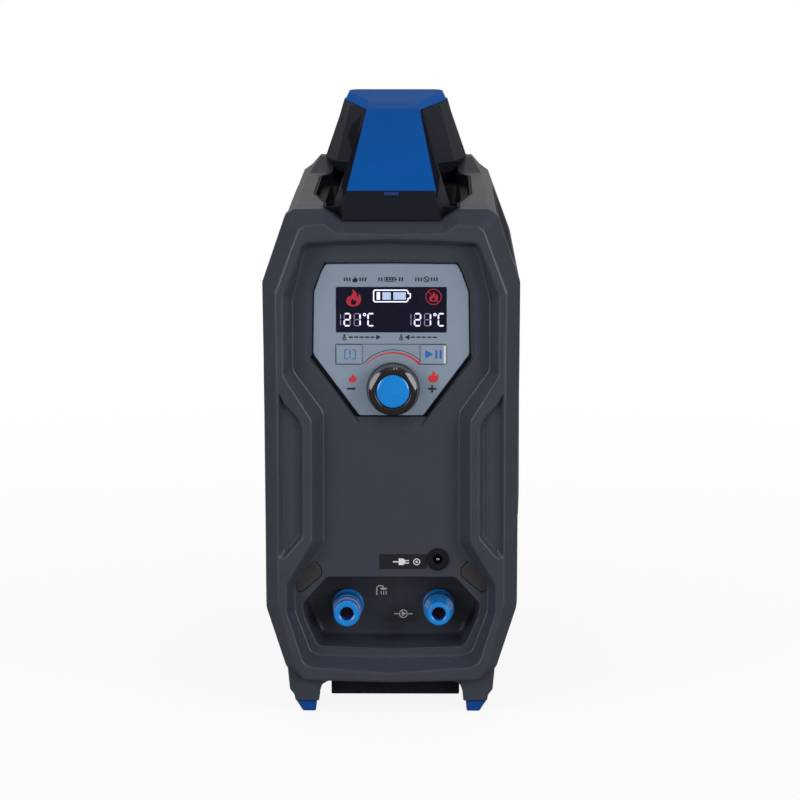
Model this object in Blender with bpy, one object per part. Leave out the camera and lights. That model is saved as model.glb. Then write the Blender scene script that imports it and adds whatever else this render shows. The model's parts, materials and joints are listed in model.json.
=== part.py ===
"""A portable gas water heater, modelled piece by piece in metres.

Frame: X to the right, Y to the back, Z up. The control panel faces -Y. The origin lies on the
ground, in the middle of the heater's plan.
"""

from math import cos, pi, radians, sin, tau

import bmesh
import bpy
from mathutils import Matrix, Vector

# Fits and sheet thicknesses
GAP = 0.0003
SHELL_WALL = 0.0025
SHEET = 0.0010

# Overall size
HALF_WIDTH = 0.0804
LENGTH = 0.360
SHELL_TOP = 0.318
HANDLE_TOP = SHELL_TOP + 0.0538
CHIN_BOTTOM = 0.0185
FRONT = -LENGTH / 2
REAR = LENGTH / 2

# Body outline, seen from the front
TOP_INSET = 0.0204
SHOULDER_INSET = 0.0156
SHOULDER_DROP = 0.0035
WIDEST_DROP = 0.046
SIDE_TAPER = 0.0026
LOWER_CORNER_Z = 0.0670
CHIN_CORNER_INSET = 0.0149
CHIN_CORNER_Z = 0.029

# Front and rear frames
FRAME_DEPTH = 0.030
RIM_DEPTH = 0.012
RIM_EDGE = 0.0085
FRAME_WALL = 0.003
NOTCH_HALF = 0.0308
NOTCH_TOP_HALF = 0.043
NOTCH_DROP = 0.0068
HUMP_HALF = 0.0495
HUMP_HALF_BASE = 0.062
HUMP_RISE = 0.0075

# Legs and feet
LEG_BOTTOM = 0.007
LEG_OUTER_INSET = 0.0149
LEG_INNER_INSET = 0.036
LEG_SETBACK = 0.007
FOOT_HALF = 0.0061
FOOT_BOTTOM_HALF = 0.0038

# Recess in the front frame: how far each corner lies from the widest line
RECESS_TOP_DROP = 0.020
RECESS_SHOULDER_INSET = 0.0264
RECESS_SIDE_INSET = 0.0133
RAIL_INNER_INSET = 0.0308
RAIL_TOP_DROP = 0.131
RAIL_BOTTOM_Z = 0.1095
RECESS_LOWER_Z = 0.0813
RECESS_CHIN_INSET = 0.0254
RECESS_CHIN_Z = 0.032
RECESS_BOTTOM_Z = 0.0262
RECESS_DRAFT = 0.0052
POCKET_DEPTH = 0.004
POCKET_OUTER_INSET = 0.0091
POCKET_INNER_INSET = 0.0261

# Fascia, control panel and what it carries
FASCIA_THICKNESS = 0.0037
FASCIA_LAP = 0.0035
PANEL_TOP_DROP = 0.0352
PANEL_SIDE_DROP = 0.0525
PANEL_LOW_DROP = 0.0913
PANEL_BOTTOM_DROP = 0.1295
PANEL_TOP_INSET = 0.0396
PANEL_SIDE_INSET = 0.0325
PANEL_FOOT_HALF = 0.0198
PANEL_BEVEL = 0.0044
PANEL_THICKNESS = 0.0025
PANEL_LAP = 0.003
DISPLAY_HALF = 0.0341
DISPLAY_DROP = 0.0493
DISPLAY_HEIGHT = 0.0279
LENS_THICKNESS = 0.0032
BUTTON_WIDTH = 0.0158
BUTTON_HEIGHT = 0.0119
BUTTON_DROP = 0.0855
BUTTON_PROUD = 0.0009
BUTTON_DEPTH = 0.0042
BUTTON_FLANGE = 0.0012
BUTTON_TRAVEL = 0.0008
KNOB_X = 0.0012
KNOB_DROP = 0.113
KNOB_RADIUS = 0.0168
KNOB_NOSE_RADIUS = KNOB_RADIUS - 0.0018
KNOB_HEIGHT = 0.0130
KNOB_FLOAT = 0.0016
FLUTE_HALF = 0.0058
FLUTE_DEPTH = 0.0024
CAP_RADIUS = KNOB_RADIUS * 0.613
CAP_DEPTH = 0.0022
CAP_PROUD = 0.0010
SPINDLE_RADIUS = 0.0030
POT_DEPTH = 0.0090

# Connection bay and its fittings
BAY_DEPTH = 0.031
BAY_WALL = 0.002
BAY_TOP_Z = 0.0855
BAY_SIDE_Z = 0.0682
BAY_LOW_Z = 0.0600
BAY_FLOOR_Z = 0.0410
BAY_TOP_INSET = 0.0399
BAY_SIDE_INSET = 0.0244
BAY_LOW_INSET = 0.0260
BAY_FLOOR_INSET = 0.0341
BAY_DRAFT = 0.0018
FITTING_X = (-0.028, 0.030)
FITTING_Z = 0.0626
FITTING_BORE = 0.0044
FITTING_BODY = 0.0070
FITTING_NOSE = 0.0084
FITTING_FLANGE = 0.0102
FITTING_REACH = 0.0350
FITTING_TAIL = 0.0100
SEAL_SECTION = 0.0011
SOCKET_X = 0.0293
SOCKET_Z = 0.0970
SOCKET_RADIUS = 0.0070
SOCKET_BODY = 0.0055
SOCKET_BORE = 0.00285
SOCKET_DEPTH = 0.0110
PIN_RADIUS = 0.0010
COVER_THICKNESS = 0.0022
SCREW_RADIUS = 0.0016
SCREW_HEAD = 0.0034

# Side shells, top tray and underside
PAD_PROUD = 0.0
PAD_BEVEL = 0.006
PAD_HALF_LENGTH = 0.118
PAD_TOP_Z = 0.245
PAD_BOTTOM_Z = 0.108
GRILLE_PROUD = 0.0004
GRILLE_THICKNESS = 0.0027
GRILLE_HALF_LENGTH = 0.110
GRILLE_WIDTH = 0.033
GRILLE_SLOTS = 11
WELL_FRONT_HALF = 0.043
WELL_HALF = 0.0515
WELL_FRONT_RUN = (0.053, 0.119)
WELL_REAR_RUN = (0.075, 0.105)
TRAY_WALL = 0.002
TRAY_LEDGE = 0.0068
TRAY_DEPTH = 0.022
HAND_FRONT = 0.092
HAND_REAR = 0.104
RAMP_LENGTH = 0.050
DRIP_HALF = 0.0405
DRIP_X = 0.0025
DRIP_BOTTOM = 0.009

# Handle
HANDLE_FOOT_HALF = 0.0308
HANDLE_FOOT_WIDE = 0.0385
HANDLE_FACE_HALF = 0.0282
HANDLE_FACE_Z = SHELL_TOP + 0.011
HANDLE_SLOPE_RUN = 0.118
GRIP_HALF = 0.0172
GRIP_UNDER = 0.0225
COVER_BAND = 0.0055
WING_HALF = 0.0350
HOUSING_HALF = 0.0475
HAND_GAP_RUN = 0.016

# Inside
BRACKET_FRONT = 0.068
BRACKET_REAR = 0.060
JACKET_BOTTOM = 0.120
JACKET_TOP = 0.205
JACKET_HALF = 0.050
BURNER_BARS = 6
BURNER_BAR_HALF = 0.0020
CORE_HEIGHT = 0.056
CORE_RAIL = 0.004
FIN_COUNT = 14
FIN_THICKNESS = 0.0024
PIPE_RADIUS = 0.0055
VALVE_HALF = 0.018
VALVE_TOP = 0.078
GAS_X = 0.034
GAS_Z = 0.058
INLET_RADIUS = 0.0095


def clear_scene():
    for obj in list(bpy.data.objects):
        bpy.data.objects.remove(obj, do_unlink=True)


def material(name, colour, roughness, metallic=0.0):
    """One Principled material."""
    made = bpy.data.materials.get(name) or bpy.data.materials.new(name)
    made.use_nodes = True
    shader = made.node_tree.nodes["Principled BSDF"]
    shader.inputs["Base Color"].default_value = (*colour, 1.0)
    shader.inputs["Roughness"].default_value = roughness
    shader.inputs["Metallic"].default_value = metallic
    return made


CHARCOAL = ("charcoal shell plastic", (0.045, 0.050, 0.058), 0.5, 0.0)
BLACK = ("black plastic", (0.012, 0.012, 0.014), 0.55, 0.0)
BLUE = ("blue handle plastic", (0.003, 0.075, 0.32), 0.4, 0.0)
FOOT_BLUE = ("blue rubber", (0.010, 0.060, 0.33), 0.6, 0.0)
GLOSS_BLUE = ("gloss blue plastic", (0.002, 0.19, 0.58), 0.25, 0.0)
PANEL_GREY = ("panel grey", (0.20, 0.26, 0.33), 0.45, 0.0)
KEY_GREY = ("key grey", (0.30, 0.38, 0.47), 0.45, 0.0)
GLASS_BLACK = ("dark display window", (0.006, 0.006, 0.025), 0.15, 0.0)
KNOB_BLACK = ("knob plastic", (0.03, 0.022, 0.022), 0.3, 0.0)
BROWN_GREY = ("screw cover plastic", (0.048, 0.041, 0.041), 0.65, 0.0)
SEAL_RED = ("red seal rubber", (0.55, 0.10, 0.22), 0.5, 0.0)
SEAL_BLUE = ("blue seal rubber", (0.01, 0.14, 0.45), 0.5, 0.0)
STEEL = ("steel", (0.55, 0.55, 0.55), 0.35, 1.0)
ZINC = ("zinc plated sheet", (0.50, 0.52, 0.54), 0.45, 1.0)
COPPER = ("copper", (0.72, 0.36, 0.22), 0.35, 1.0)
BRASS = ("brass", (0.70, 0.52, 0.22), 0.35, 1.0)
BOARD_GREEN = ("circuit board", (0.02, 0.16, 0.07), 0.5, 0.0)
CELL_BLUE = ("battery wrap", (0.05, 0.10, 0.30), 0.5, 0.0)
CERAMIC = ("ceramic", (0.85, 0.83, 0.78), 0.5, 0.0)


def publish(name, mesh_data, finish):
    """Put a bmesh into the scene as a named object."""
    bmesh.ops.recalc_face_normals(mesh_data, faces=mesh_data.faces)
    mesh = bpy.data.meshes.new(name)
    mesh_data.to_mesh(mesh)
    mesh_data.free()
    if finish:
        mesh.materials.append(material(*finish))
    obj = bpy.data.objects.new(name, mesh)
    bpy.context.scene.collection.objects.link(obj)
    return obj


def loft_mesh(sections):
    """A closed solid through sections, which are loops of 3-D points with matching corners."""
    solid = bmesh.new()
    ring = [solid.verts.new(point) for point in sections[0]]
    face = solid.faces.new(ring)
    for section in sections[1:]:
        made = bmesh.ops.extrude_face_region(solid, geom=[face, *face.edges, *face.verts])
        face = next(item for item in made["geom"] if isinstance(item, bmesh.types.BMFace))
        new_verts = {item for item in made["geom"] if isinstance(item, bmesh.types.BMVert)}
        following = []
        for old in ring:
            following.append(next(edge.other_vert(old) for edge in old.link_edges
                                  if edge.other_vert(old) in new_verts))
        for vert, point in zip(following, section):
            vert.co = point
        ring = following
    return solid


def loft(name, sections, finish=None):
    return publish(name, loft_mesh(sections), finish)


def front_prism(name, outline, y_start, y_end, finish=None):
    """An outline of (x, z) points carried along Y."""
    return loft(name, [[(x, y, z) for x, z in outline] for y in (y_start, y_end)], finish)


def plan_prism(name, outline, z_start, z_end, finish=None):
    """An outline of (x, y) points carried along Z."""
    return loft(name, [[(x, y, z) for x, y in outline] for z in (z_start, z_end)], finish)


def side_prism(name, outline, x_start, x_end, finish=None):
    """An outline of (y, z) points carried along X."""
    return loft(name, [[(x, y, z) for y, z in outline] for x in (x_start, x_end)], finish)


def box(name, low, high, finish=None):
    (x0, y0, z0), (x1, y1, z1) = low, high
    return front_prism(name, [(x0, z0), (x1, z0), (x1, z1), (x0, z1)], y0, y1, finish)


def turned(name, profile, centre, finish=None, sides=24):
    """A solid turned about a line along Y through centre, from (radius, y) points, front first.

    A profile that starts and ends on radius 0 is solid; one that closes on itself is a ring.
    """
    x, z = centre
    closed = profile[0] == profile[-1]
    spun = bmesh.new()
    verts = [spun.verts.new((radius, y, 0.0)) for radius, y in (profile[:-1] if closed else profile)]
    edges = [spun.edges.new(pair) for pair in zip(verts, verts[1:])]
    if closed:
        edges.append(spun.edges.new((verts[-1], verts[0])))
    bmesh.ops.spin(spun, geom=verts + edges, cent=(0, 0, 0), axis=(0, 1, 0), angle=tau,
                   steps=sides, use_merge=True, use_duplicate=False)
    bmesh.ops.remove_doubles(spun, verts=spun.verts, dist=1e-6)
    bmesh.ops.translate(spun, verts=spun.verts, vec=(x, 0, z))
    return publish(name, spun, finish)


def rod(name, start, end, radius, finish=None, sides=16):
    """A straight round rod between two points."""
    start, end = Vector(start), Vector(end)
    solid = bmesh.new()
    bmesh.ops.create_cone(solid, cap_ends=True, segments=sides, radius1=radius, radius2=radius,
                          depth=(end - start).length)
    turn = Vector((0, 0, 1)).rotation_difference(end - start).to_matrix().to_4x4()
    place = Matrix.Translation((start + end) / 2) @ turn
    bmesh.ops.transform(solid, matrix=place, verts=solid.verts)
    return publish(name, solid, finish)


def pipe(name, corners, radius, finish, bend=0.012, sides=10):
    """A tube-shaped solid along a route whose corners are rounded."""
    points = [Vector(corner) for corner in corners]
    route = [points[0]]
    for before, corner, after in zip(points, points[1:], points[2:]):
        inward = (before - corner).normalized() * bend
        outward = (after - corner).normalized() * bend
        for step in range(5):
            t = step / 4
            route.append(corner + inward * (1 - t) ** 2 + outward * t ** 2)
    route.append(points[-1])
    tube = bmesh.new()
    side = None
    sections = []
    for index, point in enumerate(route):
        ahead = route[min(index + 1, len(route) - 1)] - route[max(index - 1, 0)]
        ahead.normalize()
        if side is None:
            side = ahead.orthogonal().normalized()
        side = (side - ahead * side.dot(ahead)).normalized()
        up = ahead.cross(side)
        sections.append([point + side * radius * cos(tau * n / sides)
                         + up * radius * sin(tau * n / sides) for n in range(sides)])
    tube.free()
    return loft(name, sections, finish)


def placed(obj, matrix):
    """Move an object's mesh; a mirroring matrix gets its faces turned back outwards."""
    obj.data.transform(matrix)
    if matrix.determinant() < 0:
        obj.data.flip_normals()
    return obj


def boolean(target, other, operation):
    """Apply a Boolean to target as a live modifier, with other hidden as its guide."""
    change = target.modifiers.new(other.name, "BOOLEAN")
    change.operation = operation
    change.solver = "EXACT"
    change.object = other
    other.hide_render = True
    other.display_type = "WIRE"
    return target


def cut(target, *others):
    for other in others:
        boolean(target, other, "DIFFERENCE")
    return target


def join(target, *others):
    for other in others:
        boolean(target, other, "UNION")
    return target


def keep(target, *others):
    for other in others:
        boolean(target, other, "INTERSECT")
    return target


def mirrored(half):
    """A closed outline from its right half, listed from the top centre line to the bottom."""
    return half + [(-x, z) for x, z in reversed(half) if x > 0]


def grown(outline, amount):
    """The outline moved outwards along its edges' normals; a negative amount shrinks it."""
    count = len(outline)
    area = sum(outline[i][0] * outline[(i + 1) % count][1] - outline[(i + 1) % count][0] * outline[i][1]
               for i in range(count))
    turn = 1 if area > 0 else -1
    moved = []
    for i in range(count):
        before, here, after = (Vector(outline[(i + k) % count]) for k in (-1, 0, 1))
        first = (here - before).normalized()
        second = (after - here).normalized()
        first_out = Vector((first.y, -first.x)) * turn
        second_out = Vector((second.y, -second.x)) * turn
        between = first_out + second_out
        moved.append(tuple(here + between * (amount / (1 + first_out.dot(second_out)))))
    return moved


def body_half(top=None):
    """Right half of the body's outline; top adds points before the shoulder."""
    w = HALF_WIDTH
    return (top or [(w - TOP_INSET - 0.02, SHELL_TOP)]) + [
        (w - TOP_INSET, SHELL_TOP),
        (w - SHOULDER_INSET, SHELL_TOP - SHOULDER_DROP),
        (w, SHELL_TOP - WIDEST_DROP),
        (w - SIDE_TAPER, LOWER_CORNER_Z),
        (w - CHIN_CORNER_INSET, CHIN_CORNER_Z),
        (w - TOP_INSET, CHIN_BOTTOM),
    ]


def notch():
    return [(NOTCH_HALF, SHELL_TOP - NOTCH_DROP), (NOTCH_TOP_HALF, SHELL_TOP)]


def hump():
    return [(HUMP_HALF, SHELL_TOP + HUMP_RISE), (HUMP_HALF_BASE - 0.003, SHELL_TOP + 0.0008)]


def recess_half(draft):
    """Right half of the frame's recess, drawn in by the draft of its walls."""
    w = HALF_WIDTH
    return [
        (w - RECESS_SHOULDER_INSET, SHELL_TOP - RECESS_TOP_DROP - draft * 0.7),
        (w - RECESS_SIDE_INSET - draft, SHELL_TOP - WIDEST_DROP - 0.007 - draft * 0.5),
        (w - RECESS_SIDE_INSET - draft, SHELL_TOP - RAIL_TOP_DROP + 0.0276 + draft * 0.4),
        (w - RAIL_INNER_INSET - draft * 1.3, SHELL_TOP - RAIL_TOP_DROP + draft * 0.6),
        (w - RAIL_INNER_INSET - draft * 1.3, RAIL_BOTTOM_Z - draft * 0.4),
        (w - RECESS_SIDE_INSET - 0.0016 - draft * 0.4, RECESS_LOWER_Z),
        (w - RECESS_SIDE_INSET - 0.0016 - draft * 0.8, RECESS_LOWER_Z - 0.0168),
        (w - RECESS_CHIN_INSET - draft * 0.8, RECESS_CHIN_Z + draft * 0.8),
        (0.0, RECESS_BOTTOM_Z + draft * 1.6),
    ]


def panel_half(spread):
    """Right half of the control panel's outline, spread outwards."""
    w = HALF_WIDTH
    return [
        (w - PANEL_TOP_INSET + spread * 0.6, SHELL_TOP - PANEL_TOP_DROP + spread * 0.7),
        (w - PANEL_SIDE_INSET - 0.004 + spread, SHELL_TOP - PANEL_TOP_DROP - 0.0058 + spread * 0.6),
        (w - PANEL_SIDE_INSET + spread, SHELL_TOP - PANEL_SIDE_DROP),
        (w - PANEL_SIDE_INSET + 0.0006 + spread, SHELL_TOP - PANEL_LOW_DROP),
        (PANEL_FOOT_HALF, SHELL_TOP - PANEL_BOTTOM_DROP - spread * 1.6),
    ]


def bay_half(draft):
    """Right half of the connection bay's outline, drawn in by its draft."""
    w = HALF_WIDTH
    return [
        (w - BAY_TOP_INSET - draft * 0.5, BAY_TOP_Z - draft),
        (w - BAY_SIDE_INSET - draft, BAY_SIDE_Z),
        (w - BAY_LOW_INSET - draft, BAY_LOW_Z),
        (w - BAY_FLOOR_INSET - draft, BAY_FLOOR_Z + draft),
    ]


def well_outline(spread, mouth=0.0):
    """Plan of the well in the heater's top, where the handle stands."""
    half = [
        (WELL_FRONT_HALF + spread, FRONT + WELL_FRONT_RUN[0]),
        (WELL_HALF + spread, FRONT + WELL_FRONT_RUN[1]),
        (WELL_HALF + spread, REAR - WELL_REAR_RUN[1]),
        (WELL_FRONT_HALF + spread, REAR - WELL_REAR_RUN[0]),
    ]
    right = [(half[0][0], FRONT + FRAME_DEPTH - mouth)] + half + [(half[-1][0], REAR - FRAME_DEPTH + mouth)]
    return right + [(-x, y) for x, y in reversed(right)]


def screw_cover_outline(side, spread):
    """One slanted cover beside the bay; side is 1 on the right and -1 on the left."""
    w = HALF_WIDTH
    outline = [
        (w - 0.0315, BAY_TOP_Z + 0.0113),
        (w - 0.0209, BAY_TOP_Z - 0.0014),
        (w - 0.0200, BAY_TOP_Z - 0.0077),
        (w - 0.0236, BAY_TOP_Z - 0.0098),
        (w - 0.0363, BAY_TOP_Z + 0.0009),
        (w - 0.0363, BAY_TOP_Z + 0.0053),
    ]
    return [(side * x, z) for x, z in grown(outline, spread)]


FACE_Y = FRONT + RIM_DEPTH
FASCIA_BACK = FACE_Y + FASCIA_THICKNESS
PANEL_Y = FASCIA_BACK + GAP
PANEL_BACK = PANEL_Y + PANEL_THICKNESS
SHELL_START = FRONT + FRAME_DEPTH + GAP
SHELL_END = REAR - FRAME_DEPTH - GAP
KNOB_Z = SHELL_TOP - KNOB_DROP
BUTTON_X = DISPLAY_HALF - BUTTON_WIDTH
BAY_BACK = FACE_Y + BAY_DEPTH
BRACKET_FRONT_Y = FRONT + BRACKET_FRONT
BRACKET_REAR_Y = REAR - BRACKET_REAR
FLOOR_Z = CHIN_BOTTOM + SHELL_WALL


def legs(prefix, frame, y_start, y_end):
    """Join the two legs to a frame."""
    w = HALF_WIDTH
    for side, word in ((-1, "left"), (1, "right")):
        outline = [
            (w - LEG_OUTER_INSET - 0.0006, CHIN_CORNER_Z + 0.001),
            (w - LEG_OUTER_INSET - 0.0015, LEG_BOTTOM + 0.007),
            (w - LEG_OUTER_INSET - 0.0045, LEG_BOTTOM + 0.0037),
            (w - LEG_OUTER_INSET - 0.0052, LEG_BOTTOM),
            (w - LEG_INNER_INSET + 0.0011, LEG_BOTTOM),
            (w - LEG_INNER_INSET, CHIN_BOTTOM - 0.001),
            (w - LEG_INNER_INSET, CHIN_CORNER_Z + 0.001),
        ]
        leg = front_prism(f"{prefix}_{word}_leg", [(side * x, z) for x, z in outline], y_start, y_end)
        join(frame, leg)


def front_frame():
    """The front frame: a sloped rim around the recess, with two rails and two legs."""
    outline = mirrored(body_half(notch()))
    edge = mirrored(body_half(notch()))
    edge = grown(edge, -RIM_EDGE)
    frame = loft("front_frame", [
        [(x, FRONT, z) for x, z in edge],
        [(x, FACE_Y, z) for x, z in outline],
        [(x, FRONT + FRAME_DEPTH, z) for x, z in outline],
    ], CHARCOAL)
    legs("front", frame, FRONT + LEG_SETBACK, FRONT + FRAME_DEPTH)
    reach = RIM_DEPTH + GAP
    opening = loft("recess_cutter", [
        [(x, FRONT - 0.001, z) for x, z in mirrored(recess_half(-RECESS_DRAFT / RIM_DEPTH * 0.001))],
        [(x, FRONT + reach, z) for x, z in mirrored(recess_half(RECESS_DRAFT))],
    ])
    hollow = front_prism("frame_hollow_cutter", frame_cavity(), FACE_Y - GAP, FRONT + FRAME_DEPTH + 0.001)
    cut(frame, opening, hollow)
    for side in (-1, 1):
        cut(frame, rail_pocket(side))
    return frame


def frame_cavity():
    """The space behind the front frame's face: as wide as its walls allow."""
    w = HALF_WIDTH
    roof = SHELL_TOP - NOTCH_DROP - FRAME_WALL
    half = [
        (w - SHOULDER_INSET - FRAME_WALL, roof),
        (w - FRAME_WALL - 0.0006, SHELL_TOP - WIDEST_DROP - 0.001),
        (w - SIDE_TAPER - FRAME_WALL, LOWER_CORNER_Z + 0.001),
        (w - CHIN_CORNER_INSET - FRAME_WALL, CHIN_CORNER_Z + 0.002),
        (w - TOP_INSET - FRAME_WALL, CHIN_BOTTOM + FRAME_WALL),
    ]
    return mirrored(half)


def rail_pocket(side):
    """The long six-sided hollow in one rail."""
    w = HALF_WIDTH
    outer = w - POCKET_OUTER_INSET
    inner = w - POCKET_INNER_INSET
    top = SHELL_TOP - 0.1123
    bottom = RAIL_BOTTOM_Z - 0.0155
    outline = [
        (outer, top),
        (inner, top - 0.0237),
        (inner, bottom + 0.0175),
        (outer, bottom),
    ]
    floor = grown(outline, -0.0018)
    name = "left_pocket_cutter" if side < 0 else "right_pocket_cutter"
    return loft(name, [
        [(side * x, FRONT - 0.001, z) for x, z in outline],
        [(side * x, FRONT + POCKET_DEPTH, z) for x, z in floor],
    ])


def front_fascia():
    """The recessed face plate, with its openings for the panel, bay, socket and covers."""
    plate = front_prism("front_fascia", mirrored(recess_half(RECESS_DRAFT - FASCIA_LAP)),
                        FACE_Y, FASCIA_BACK, CHARCOAL)
    seat = loft("panel_seat_cutter", [
        [(x, FACE_Y - 0.001, z) for x, z in mirrored(panel_half(PANEL_BEVEL * 1.3))],
        [(x, FASCIA_BACK + 0.001, z) for x, z in mirrored(panel_half(-PANEL_BEVEL * 0.3))],
    ])
    mouth = front_prism("bay_mouth_cutter", mirrored(bay_half(0)), FACE_Y - 0.001, FASCIA_BACK + 0.001)
    socket = rod("socket_hole_cutter", (SOCKET_X, FACE_Y - 0.002, SOCKET_Z),
                 (SOCKET_X, FASCIA_BACK + 0.002, SOCKET_Z), SOCKET_BODY + 0.0004, sides=24)
    cut(plate, seat, mouth, socket)
    for side, word in ((-1, "left"), (1, "right")):
        outline = screw_cover_outline(side, 0)
        middle = (sum(x for x, _ in outline) / 6, sum(z for _, z in outline) / 6)
        boss = rod(f"{word}_screw_boss", (middle[0], FASCIA_BACK - 0.001, middle[1]),
                   (middle[0], FASCIA_BACK + 0.006, middle[1]), 0.0055)
        seat = front_prism(f"{word}_cover_seat_cutter", screw_cover_outline(side, GAP),
                           FACE_Y - 0.001, FACE_Y + COVER_THICKNESS + GAP)
        head = rod(f"{word}_screw_head_cutter", (middle[0], FACE_Y, middle[1]),
                   (middle[0], FASCIA_BACK + 0.0015, middle[1]), SCREW_HEAD + GAP)
        hole = rod(f"{word}_screw_hole_cutter", (middle[0], FACE_Y, middle[1]),
                   (middle[0], FASCIA_BACK + 0.01, middle[1]), SCREW_RADIUS + GAP)
        join(plate, boss)
        cut(plate, seat, head, hole)
        front_prism(f"screw_cover_{word}", outline, FACE_Y - 0.0004, FACE_Y + COVER_THICKNESS, BROWN_GREY)
        head_top = FACE_Y + COVER_THICKNESS + 2 * GAP
        seat_y = FASCIA_BACK + 0.0015 - GAP
        turned(f"cover_screw_{word}", [
            (0, head_top), (SCREW_HEAD, head_top), (SCREW_HEAD, seat_y),
            (SCREW_RADIUS, seat_y), (SCREW_RADIUS, FASCIA_BACK + 0.016), (0, FASCIA_BACK + 0.017),
        ], middle, STEEL, sides=12)
    return plate


def connection_bay():
    """The hollow that the hoses plug into: a drafted pan behind the fascia."""
    pan = loft("connection_bay", [
        [(x, FASCIA_BACK + GAP, z) for x, z in grown(mirrored(bay_half(0)), BAY_WALL)],
        [(x, BAY_BACK + BAY_WALL, z) for x, z in grown(mirrored(bay_half(BAY_DRAFT)), BAY_WALL)],
    ], BLACK)
    hollow = loft("bay_hollow_cutter", [
        [(x, FASCIA_BACK - 0.001, z) for x, z in mirrored(bay_half(0))],
        [(x, BAY_BACK, z) for x, z in mirrored(bay_half(BAY_DRAFT))],
    ])
    cut(pan, hollow)
    for number, x in enumerate(FITTING_X):
        cut(pan, rod(f"fitting_hole_cutter_{number}", (x, BAY_BACK - 0.003, FITTING_Z),
                     (x, BAY_BACK + 0.006, FITTING_Z), FITTING_BODY + GAP, sides=24))
    return pan


def fittings():
    """The two hose fittings: a flange on the bay's back wall, a barbed nose and a seal ring."""
    nose = BAY_BACK - FITTING_REACH
    tail = BAY_BACK + FITTING_TAIL
    flange = BAY_BACK - GAP
    groove = nose + 0.0095
    names = (("shower_fitting", "shower_seal", SEAL_RED), ("pump_fitting", "pump_seal", SEAL_BLUE))
    for x, (name, seal_name, seal_finish) in zip(FITTING_X, names):
        turned(name, [
            (FITTING_BORE, nose), (FITTING_NOSE - 0.0008, nose), (FITTING_NOSE, nose + 0.002),
            (FITTING_NOSE, groove - 0.0016), (FITTING_BODY, groove - 0.0016),
            (FITTING_BODY, groove + 0.0016), (FITTING_NOSE + 0.0004, groove + 0.0016),
            (FITTING_NOSE + 0.0008, flange - 0.010), (FITTING_BODY, flange - 0.010),
            (FITTING_BODY, flange - 0.004), (FITTING_FLANGE, flange - 0.004),
            (FITTING_FLANGE, flange), (FITTING_BODY, flange), (FITTING_BODY, tail),
            (FITTING_BORE, tail), (FITTING_BORE, nose),
        ], (x, FITTING_Z), GLOSS_BLUE)
        middle = FITTING_BODY + 0.0004 + SEAL_SECTION
        ring = [(middle + SEAL_SECTION * cos(tau * n / 8), groove + SEAL_SECTION * sin(tau * n / 8))
                for n in range(8)]
        turned(seal_name, ring + ring[:1], (x, FITTING_Z), seal_finish)


def power_socket():
    """The barrel socket that feeds the pump, and its centre pin."""
    front = FACE_Y - GAP
    depth = front + SOCKET_DEPTH
    turned("dc_socket", [
        (SOCKET_BORE, front - 0.0022), (SOCKET_RADIUS - 0.0008, front - 0.0022),
        (SOCKET_RADIUS, front - 0.0012), (SOCKET_RADIUS, front), (SOCKET_BODY, front),
        (SOCKET_BODY, depth + 0.002), (0, depth + 0.002), (0, depth), (SOCKET_BORE, depth),
        (SOCKET_BORE, front - 0.0022),
    ][:-1] + [(SOCKET_BORE, front - 0.0022)], (SOCKET_X, SOCKET_Z), BLACK, sides=20)
    turned("dc_pin", [
        (0, front + 0.0005), (PIN_RADIUS * 0.7, front + 0.0005), (PIN_RADIUS, front + 0.001),
        (PIN_RADIUS, depth - 2 * GAP), (PIN_RADIUS * 2, depth - 2 * GAP),
        (PIN_RADIUS * 2, depth - GAP), (0, depth - GAP),
    ], (SOCKET_X, SOCKET_Z), STEEL, sides=12)


def control_panel():
    """The grey panel behind the fascia's opening, with holes for its window, keys and spindle."""
    w = HALF_WIDTH
    panel = front_prism("control_panel", mirrored(panel_half(PANEL_LAP)), PANEL_Y, PANEL_BACK, PANEL_GREY)
    top = SHELL_TOP - DISPLAY_DROP
    window = box("window_cutter", (-DISPLAY_HALF, PANEL_Y - 0.001, top - DISPLAY_HEIGHT),
                 (DISPLAY_HALF, PANEL_BACK + 0.001, top))
    spindle = rod("spindle_hole_cutter", (KNOB_X, PANEL_Y - 0.001, KNOB_Z),
                  (KNOB_X, PANEL_BACK + 0.001, KNOB_Z), SPINDLE_RADIUS + GAP)
    cut(panel, window, spindle)
    box("display_window", (-DISPLAY_HALF + GAP, PANEL_Y + 0.0001, top - DISPLAY_HEIGHT + GAP),
        (DISPLAY_HALF - GAP, PANEL_Y + LENS_THICKNESS, top - GAP), GLASS_BLACK)
    low = SHELL_TOP - BUTTON_DROP - BUTTON_HEIGHT
    for side, name in ((-1, "power_button"), (1, "start_button")):
        x0, x1 = sorted((side * BUTTON_X, side * DISPLAY_HALF))
        hole = box(f"{name}_hole_cutter", (x0 - GAP, PANEL_Y - 0.001, low - GAP),
                   (x1 + GAP, PANEL_BACK + 0.001, low + BUTTON_HEIGHT + GAP))
        cut(panel, hole)
        key = box(name, (x0, PANEL_Y - BUTTON_PROUD, low),
                  (x1, PANEL_Y + BUTTON_DEPTH, low + BUTTON_HEIGHT), KEY_GREY)
        lip = BUTTON_FLANGE
        flange = box(f"{name}_flange", (x0 - lip, PANEL_BACK + GAP, low - lip),
                     (x1 + lip, PANEL_BACK + GAP + lip, low + BUTTON_HEIGHT + lip))
        join(key, flange)


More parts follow.
